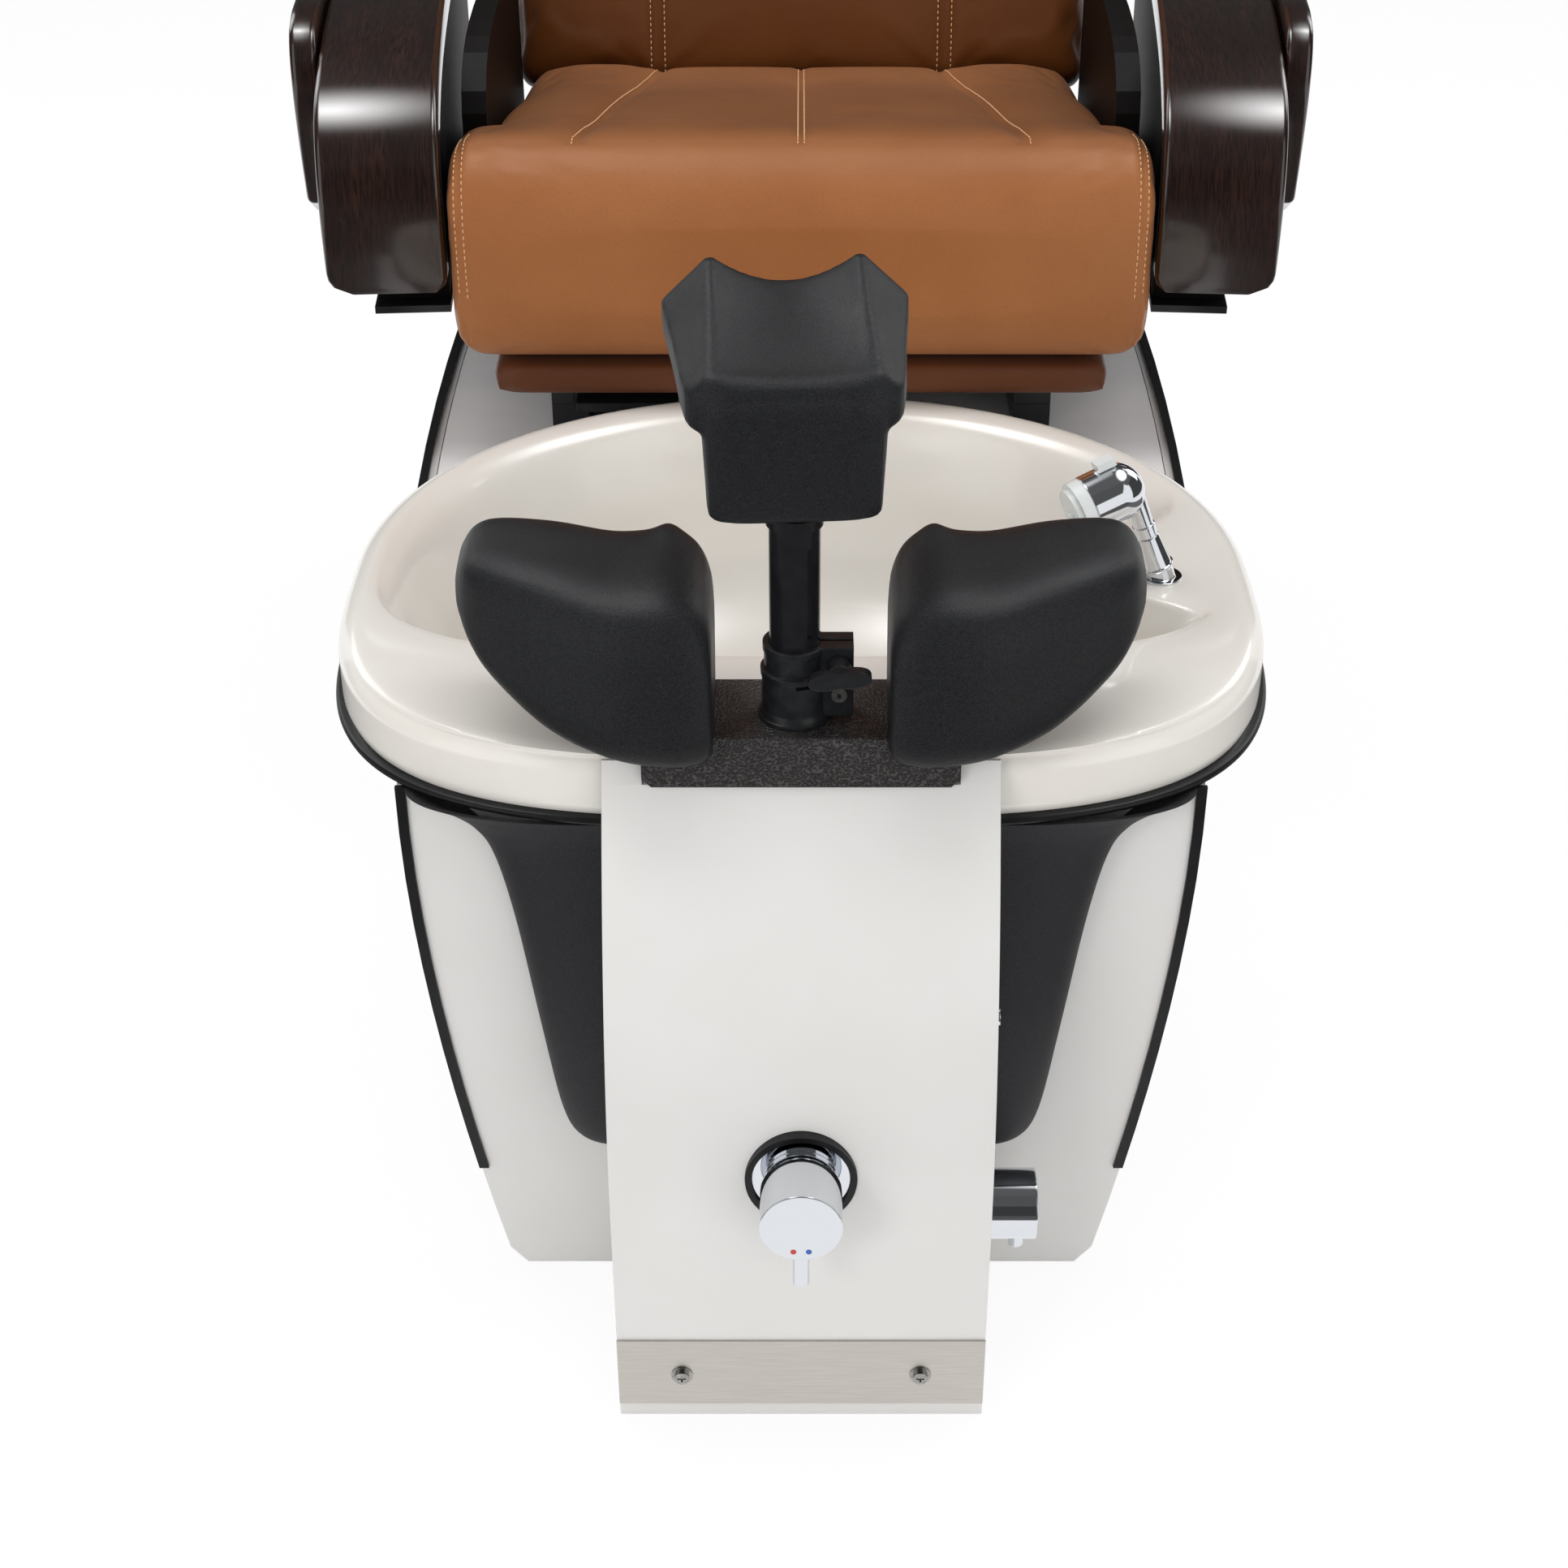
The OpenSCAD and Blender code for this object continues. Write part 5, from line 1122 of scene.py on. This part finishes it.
def build_back():
    half, low = 271.0, -38.0
    y0, y1 = 56.0, 856.0
    rows = [
        [y0 + 4, half - 8, -14, 32], [y0 + 12, half, -28, 49],
        [y0 + 36, half + 2, low + 3, 56], [y0 + 120, half + 2, low + 3, 58],
        [y0 + 250, half, low + 3, 55], [y0 + 420, half - 6, low + 3, 49],
        [y1 - 180, half - 18, low + 3, 51], [y1 - 42, half - 36, low + 4, 47],
        [y1 - 14, half - 50, low + 11, 38], [y1 - 5, half - 68, -12, 26],
    ]
    ob = cushion("back_leather", rows, 6, 22, "leather_back")
    cross = (y0 + 250, y0 + 430)

    def held(p):
        x, y, z = p.T
        front = z > 30
        w = gauss(np.abs(x) - 136, 5) * front
        for c in cross:
            w = np.maximum(w, gauss(y - c, 5) * front * (np.abs(x) < 140))
        return np.maximum(w, (z < low + 6) * 1.0)

    puff(ob, 8.0, 4.0, 16, 9.0, held)
    subdivide(ob)

    def folds(p, nrm):
        x, y, z = p.T
        front = (nrm[:, 2] > 0.3) * 1.0
        d = -3.0 * gauss(np.abs(x) - 136, 5) * front
        for c in cross:
            d += -3.0 * gauss(y - c, 5) * front * (np.abs(x) < 138)
        return d

    relief(ob, folds)
    limit_box(ob, (-half - 5, y0, low), (half + 5, y1, 68))
    set_coords(ob, at_back(coords(ob) / MM) * MM)
    dress(ob, "leather_back")
    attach(ob, "back")
    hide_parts("back_cushion")

    tree = surface(ob)
    a = math.radians(90 - LEAN)
    inward = (0, math.sin(a), -math.cos(a))
    lines = []
    for off in (-6.5, 6.5):
        paths = [[(s * (136 + off), y, 60) for y in np.arange(y0 + 20, y1 - 26, 3.0)] for s in (1, -1)]
        paths += [[(x, c + off, 60) for x in np.arange(-130, 131, 3.0)] for c in cross]
        lines += [drop_on(tree, at_back(path), inward) for path in paths]
    st = stitches("back_stitching", lines)
    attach(st, "back")

    low = 60.0
    rows = [
        [y1 - 216, 112, low + 15, low + 24], [y1 - 208, 136, low + 7, low + 37],
        [y1 - 180, 146, low + 2, low + 50], [y1 - 120, 148, low + 1, low + 55],
        [y1 - 60, 142, low + 2, low + 46], [y1 - 40, 132, low + 4, low + 32],
        [y1 - 33, 118, low + 11, low + 21],
    ]
    head = cushion("headrest_leather", rows, 7, 22, "leather")
    puff(head, 6.0, 4.0, 14, 6.0, lambda p: (p[:, 2] < low + 4) * 1.0)
    subdivide(head)
    relief(head, lambda p, n: -2.2 * gauss(np.abs(p[:, 0]) - 118, 4) * (n[:, 2] > -0.4))
    limit_box(head, (-152, y1 - 220, low - 1), (152, y1 - 30, low + 62))
    set_coords(head, at_back(coords(head) / MM) * MM)
    dress(head, "leather")
    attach(head, "back")
    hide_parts("headrest")


# ---- Footrest pads ----

# Line that the pads are measured from: reach is towards the front
PAD_Y = -620
# Rows: x, front and rear as reach, low, high
SIDE_PAD = [
    [55, 22, -45, 500, 572], [58, 27, -66, 493, 586], [68, 31, -84, 490, 597],
    [86, 32, -89, 489, 602], [120, 26, -91, 492, 600], [160, 4, -101, 501, 602],
    [196, -22, -106, 524, 601], [212, -39, -105, 542, 595], [221, -58, -98, 560, 582],
]


def settle(ob, factor, count):
    """Smooths a pad's form without letting it shrink."""
    m = ob.modifiers.new("smooth", "LAPLACIANSMOOTH")
    m.lambda_factor, m.iterations = factor, count
    m.use_volume_preserve = True
    bake(ob)
    dress(ob, "pad_skin")
    subdivide(ob)


def build_side_pads():
    a = np.arange(96) * 2 * np.pi / 96
    for side, node in ((1, "right_side_pad"), (-1, "left_side_pad")):
        rings = []
        for row in smooth_rows(SIDE_PAD, 8):
            mid_y, half_y = PAD_Y - (row[1] + row[2]) / 2, (row[1] - row[2]) / 2
            mid_z, half_z = (row[3] + row[4]) / 2, (row[4] - row[3]) / 2
            v, w = half_y * spow(np.cos(a), 0.5), half_z * spow(np.sin(a), 0.5)
            x = np.full(96, side * row[0])
            rings.append(np.stack([x, mid_y + v + 0.18 * w, mid_z + w + 0.1 * v], 1))
        ob = loft(node + "_skin", rings, "pad_skin")
        remesh(ob, 3.0)
        settle(ob, 0.5, 2)
        co = coords(ob) / MM
        # A low hump on the rear edge near the inner end
        hump = gauss(np.abs(co[:, 0]) - 84, 9) * gauss(co[:, 1] + 530, 22) * (co[:, 2] > 585)
        co[:, 2] += 5 * hump
        # The pad rests on the footrest plate and on the rim
        on_plate = ((np.abs(co[:, 0]) < 102) & (co[:, 1] > -632.5) & (co[:, 1] < -555.7)
                    & (co[:, 2] < 502.5))
        co[on_plate, 2] = 502.5
        on_rim = (co[:, 2] < 480.5) & (co[:, 1] > -620.5)
        co[on_rim, 2] = 480.5
        set_coords(ob, co * MM)
        shade(ob)
        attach(ob, "base")
        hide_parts(node)


def slab_ring(row):
    """A cross-section of the centre pad, with two crests and a dip between them."""
    reach, half, crest, low, edge, top, dip = row
    right = [(half * 0.5, low), (half - 7, low), (half - 2, low + 3), (half, low + 9),
             (half, edge - 4), (half - 1.5, edge), (crest + 7, top - 6), (crest + 3, top - 2),
             (crest - 2, top - 0.3)]
    right += [(crest * k / 3.8, top - dip * (1 - (k / 3.7) ** 2)) for k in (3, 2, 1)]
    pts = [(0, low)] + right + [(0, top - dip)] + [(-x, z) for x, z in right[::-1]]
    fine = smooth_rows(pts + pts[:1], 5)[:-1]
    return [(x, PAD_Y - reach, z) for x, z in fine]


def build_centre_pad():
    low = RIM_TOP + 165
    # Rows: reach, half width, crest's x, underside, side edge, top, dip between the crests
    rows = [
        [-2, 48, 38, low + 63, low + 77, low + 83, 0],
        [-5, 54, 44, low + 60, low + 79, low + 87, 0.5],
        [-11, 63, 50, low + 57, low + 81, low + 92, 2.5],
        [-24, 67, 50, low + 58, low + 85, low + 97, 4.5],
        [-62, 71, 48, low + 68, low + 95, low + 114, 10],
        [-100, 76, 47, low + 80, low + 106, low + 131, 16],
        [-108, 74, 46, low + 84, low + 104, low + 129, 16],
    ]
    # Rows: height over low, half width, half depth
    leg_rows = [[0, 50, 20], [3, 53, 23], [20, 54, 24.5], [50, 55.5, 25], [72, 56, 25], [78, 52, 22]]
    a = 2 * np.pi * (np.arange(112) + 0.5) / 112
    slab = [slab_ring(row) for row in smooth_rows(rows, 9)]
    leg = [np.stack([row[1] * spow(np.cos(a), 0.45), -598 + row[2] * spow(np.sin(a), 0.45),
                     np.full(112, low + row[0])], 1) for row in smooth_rows(leg_rows, 5)]
    ob = joined("centre_pad_skin", [loft("slab", slab, "pad_skin"), loft("leg", leg, "pad_skin")])
    remesh(ob, 2.6)
    settle(ob, 0.6, 7)
    co = coords(ob) / MM
    co[:, 2] = np.maximum(co[:, 2], low + 0.1)
    # The pad stands turned on its post, and the post left of the middle
    turn_flat(co, 0, -600, math.radians(4))
    co[:, 0] -= 4
    set_coords(ob, co * MM)
    shade(ob)
    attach(ob, "footrest")
    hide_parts("centre_pad")


# ---- Small marks ----

def build_marks():
    """The mixer handle's red and blue dots."""
    for name, x, mat in (("mark_hot", -5, "mark_red"), ("mark_cold", 5, "mark_blue")):
        dot = [(0, 0.1), (0, 2.0), (-0.25, 1.9), (-0.35, 0.1)]
        ob = turned(name, dot, mat, "y", (x, MIXER[1], MIXER[2] - 20), 24)
        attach(ob, "mixer_lever")


build_marks()
build_basin()
build_skirts()
build_front_panel()
build_sides()
build_arms()
build_cheeks()
build_seat()
build_underpad()
build_back()
build_side_pads()
build_centre_pad()


# ---- Materials of the solids that stay ----

PAINT = {
    "panel_white": ["front_board", "rear_cover", "column_walls"],
    # The deck takes the brighter copy of the white, which is painted light
    "deck_white_painted_light": ["deck"],
    "plywood": ["base_plate", "mid_bulkhead"],
    "trim_black": ["edge_trim", "mixer_gasket"],
    "nylon_black": ["post_collar", "wing_knob", "slide_lever", "jet_motor"],
    "skirt_black": ["back_shell"],
    "core_black": ["left_arm_core", "right_arm_core", "inner_side_panels"],
    "plate_black": ["footrest_plate"],
    "steel_black": ["footrest_post", "pad_saddle", "seat_frame", "back_frame", "slide_rails"],
    "steel_brushed": ["kickplate"],
    "steel_screw": ["footrest_screws", "kickplate_screws"],
    "chrome": ["mixer_escutcheon", "mixer_sleeve", "mixer_handle", "diverter_valve", "diverter_handle",
               "air_switch", "air_button", "drain_strainer", "drain_plug", "spray_bush", "spray_collar",
               "spray_head"],
    "brass": ["mixer_body", "water_pipes"],
    "plastic_white": ["spray_face", "jet_cover", "jet_impeller"],
    "plastic_grey": ["drain_pipe"],
}
for mat, nodes in PAINT.items():
    for n in nodes:
        ob = frame["nodes"][n]
        if not ob.data.materials:
            ob.data.materials.append(M[mat])
        for sl in ob.material_slots:
            sl.material = M[mat]
